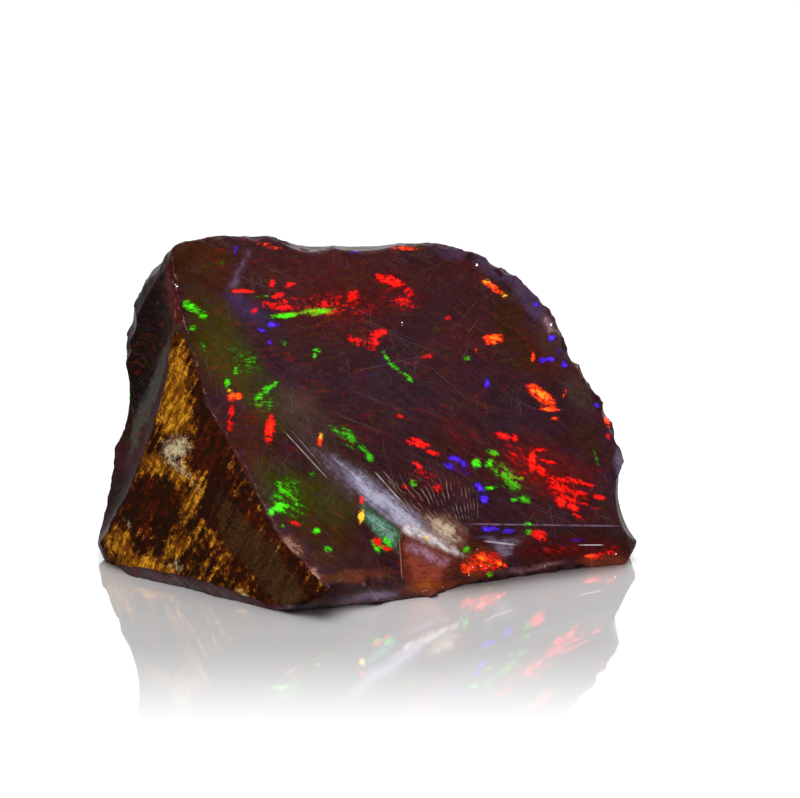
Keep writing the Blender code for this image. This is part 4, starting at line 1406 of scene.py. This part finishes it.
def buildFloor():
    mesh = bmesh.new()
    bmesh.ops.create_grid(mesh, x_segments=8, y_segments=8, size=studio["floorSize"] / 2)
    level = cadBounds[0][2] - studio["floorDrop"]
    bmesh.ops.translate(mesh, vec=Vector((0, 0, level)), verts=mesh.verts)
    floor = objectFrom("white_floor", mesh)
    material = bpy.data.materials.new("white_board")
    flow = emptyFlow(material)
    white = (studio["floorWhite"],) * 3 + (1.0,)
    dim = (studio["floorWhite"] * studio["dim"],) * 3 + (1.0,)
    # Mirror-like rays meet a dim board, so that the stone's gloss doesn't turn it grey
    mirrored = flow.node("ShaderNodeLightPath", None, None, "Is Glossy Ray")
    matt = flow.node("ShaderNodeBsdfDiffuse", None, {"Color": white})
    dull = flow.node("ShaderNodeBsdfDiffuse", None, {"Color": dim})
    board = flow.node("ShaderNodeMixShader", None, {0: mirrored, 1: matt, 2: dull})
    gloss = {"Color": (1, 1, 1, 1), "Roughness": studio["mirrorRough"]}
    shine = flow.node("ShaderNodeBsdfGlossy", None, gloss)
    depth = flow.node("ShaderNodeTexCoord", None, None, "Object").parts("ShaderNodeSeparateXYZ")[1]
    start, end = studio["mirrorEnds"]
    mirror = depth.rise(end, start) * studio["mirror"]
    both = flow.node("ShaderNodeMixShader", None, {0: mirror, 1: board, 2: shine})
    finishFlow(both, "ShaderNodeOutputMaterial")
    floor.data.materials.append(material)


def buildLight(name, setting):
    lamp = bpy.data.lights.new(name, "AREA")
    lamp.shape = "DISK"
    lamp.size = setting["size"]
    lamp.energy = setting["power"]
    light = bpy.data.objects.new(name, lamp)
    light.location = setting["place"]
    toStone = Vector(studio["lightAim"]) - light.location
    light.rotation_mode = "QUATERNION"
    light.rotation_quaternion = toStone.to_track_quat("-Z", "Y")
    bpy.context.scene.collection.objects.link(light)
    return light


def buildWorld():
    world = bpy.data.worlds.new("studio_air")
    flow = emptyFlow(world)
    way = flow.node("ShaderNodeTexCoord", None, None, "Generated")
    across, back, up = way.parts("ShaderNodeSeparateXYZ")
    leftShade = (0 - across).rise(*studio["leftFrom"]) * studio["leftShade"]
    strength = back.rise(*studio["behindFrom"]) * studio["behind"] * (1 - leftShade)
    strength = strength + up.rise(*studio["aboveFrom"]) * studio["above"] + studio["inFront"]
    air = {"Color": (1, 1, 1, 1), "Strength": strength}
    around = flow.node("ShaderNodeBackground", None, air)
    clean = flow.node("ShaderNodeBackground", None, air | {"Strength": studio["backdrop"]})
    seen = flow.node("ShaderNodeLightPath", None, None, "Is Camera Ray")
    both = flow.node("ShaderNodeMixShader", None, {0: seen, 1: around, 2: clean})
    finishFlow(both, "ShaderNodeOutputWorld")
    bpy.context.scene.world = world


def buildCamera():
    data = bpy.data.cameras.new("photo_camera")
    data.lens = photoView["lens"]
    data.sensor_width = photoView["sensor"]
    data.clip_start = 0.001
    camera = bpy.data.objects.new("photo_camera", data)
    camera.location = Vector(sight.place) * mm
    camera.rotation_mode = "QUATERNION"
    camera.rotation_quaternion = Vector(sight.ahead).to_track_quat("-Z", "Y")
    bpy.context.scene.collection.objects.link(camera)
    bpy.context.scene.camera = camera


def main():
    noise.seed_set(stoneMake["seed"])
    stone = buildStone()
    moveToFrame(stone)
    markStone(stone)
    stone.data.materials.clear()
    stone.data.materials.append(opalMaterial())
    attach(stone, "root")
    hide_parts("rough_opal")
    print("stone stands in the frame")
    buildFloor()
    buildLight("soft_light", studio["softLight"])
    # The front fill lights the stone alone and doesn't show in its gloss
    fill = buildLight("front_fill", studio["frontFill"])
    lit = bpy.data.collections.new("lit_by_front_fill")
    lit.objects.link(stone)
    fill.light_linking.receiver_collection = lit
    fill.visible_glossy = False
    buildWorld()
    buildCamera()
    bpy.context.scene.view_settings.view_transform = "Standard"
    print("floor, lights and camera are set")


main()
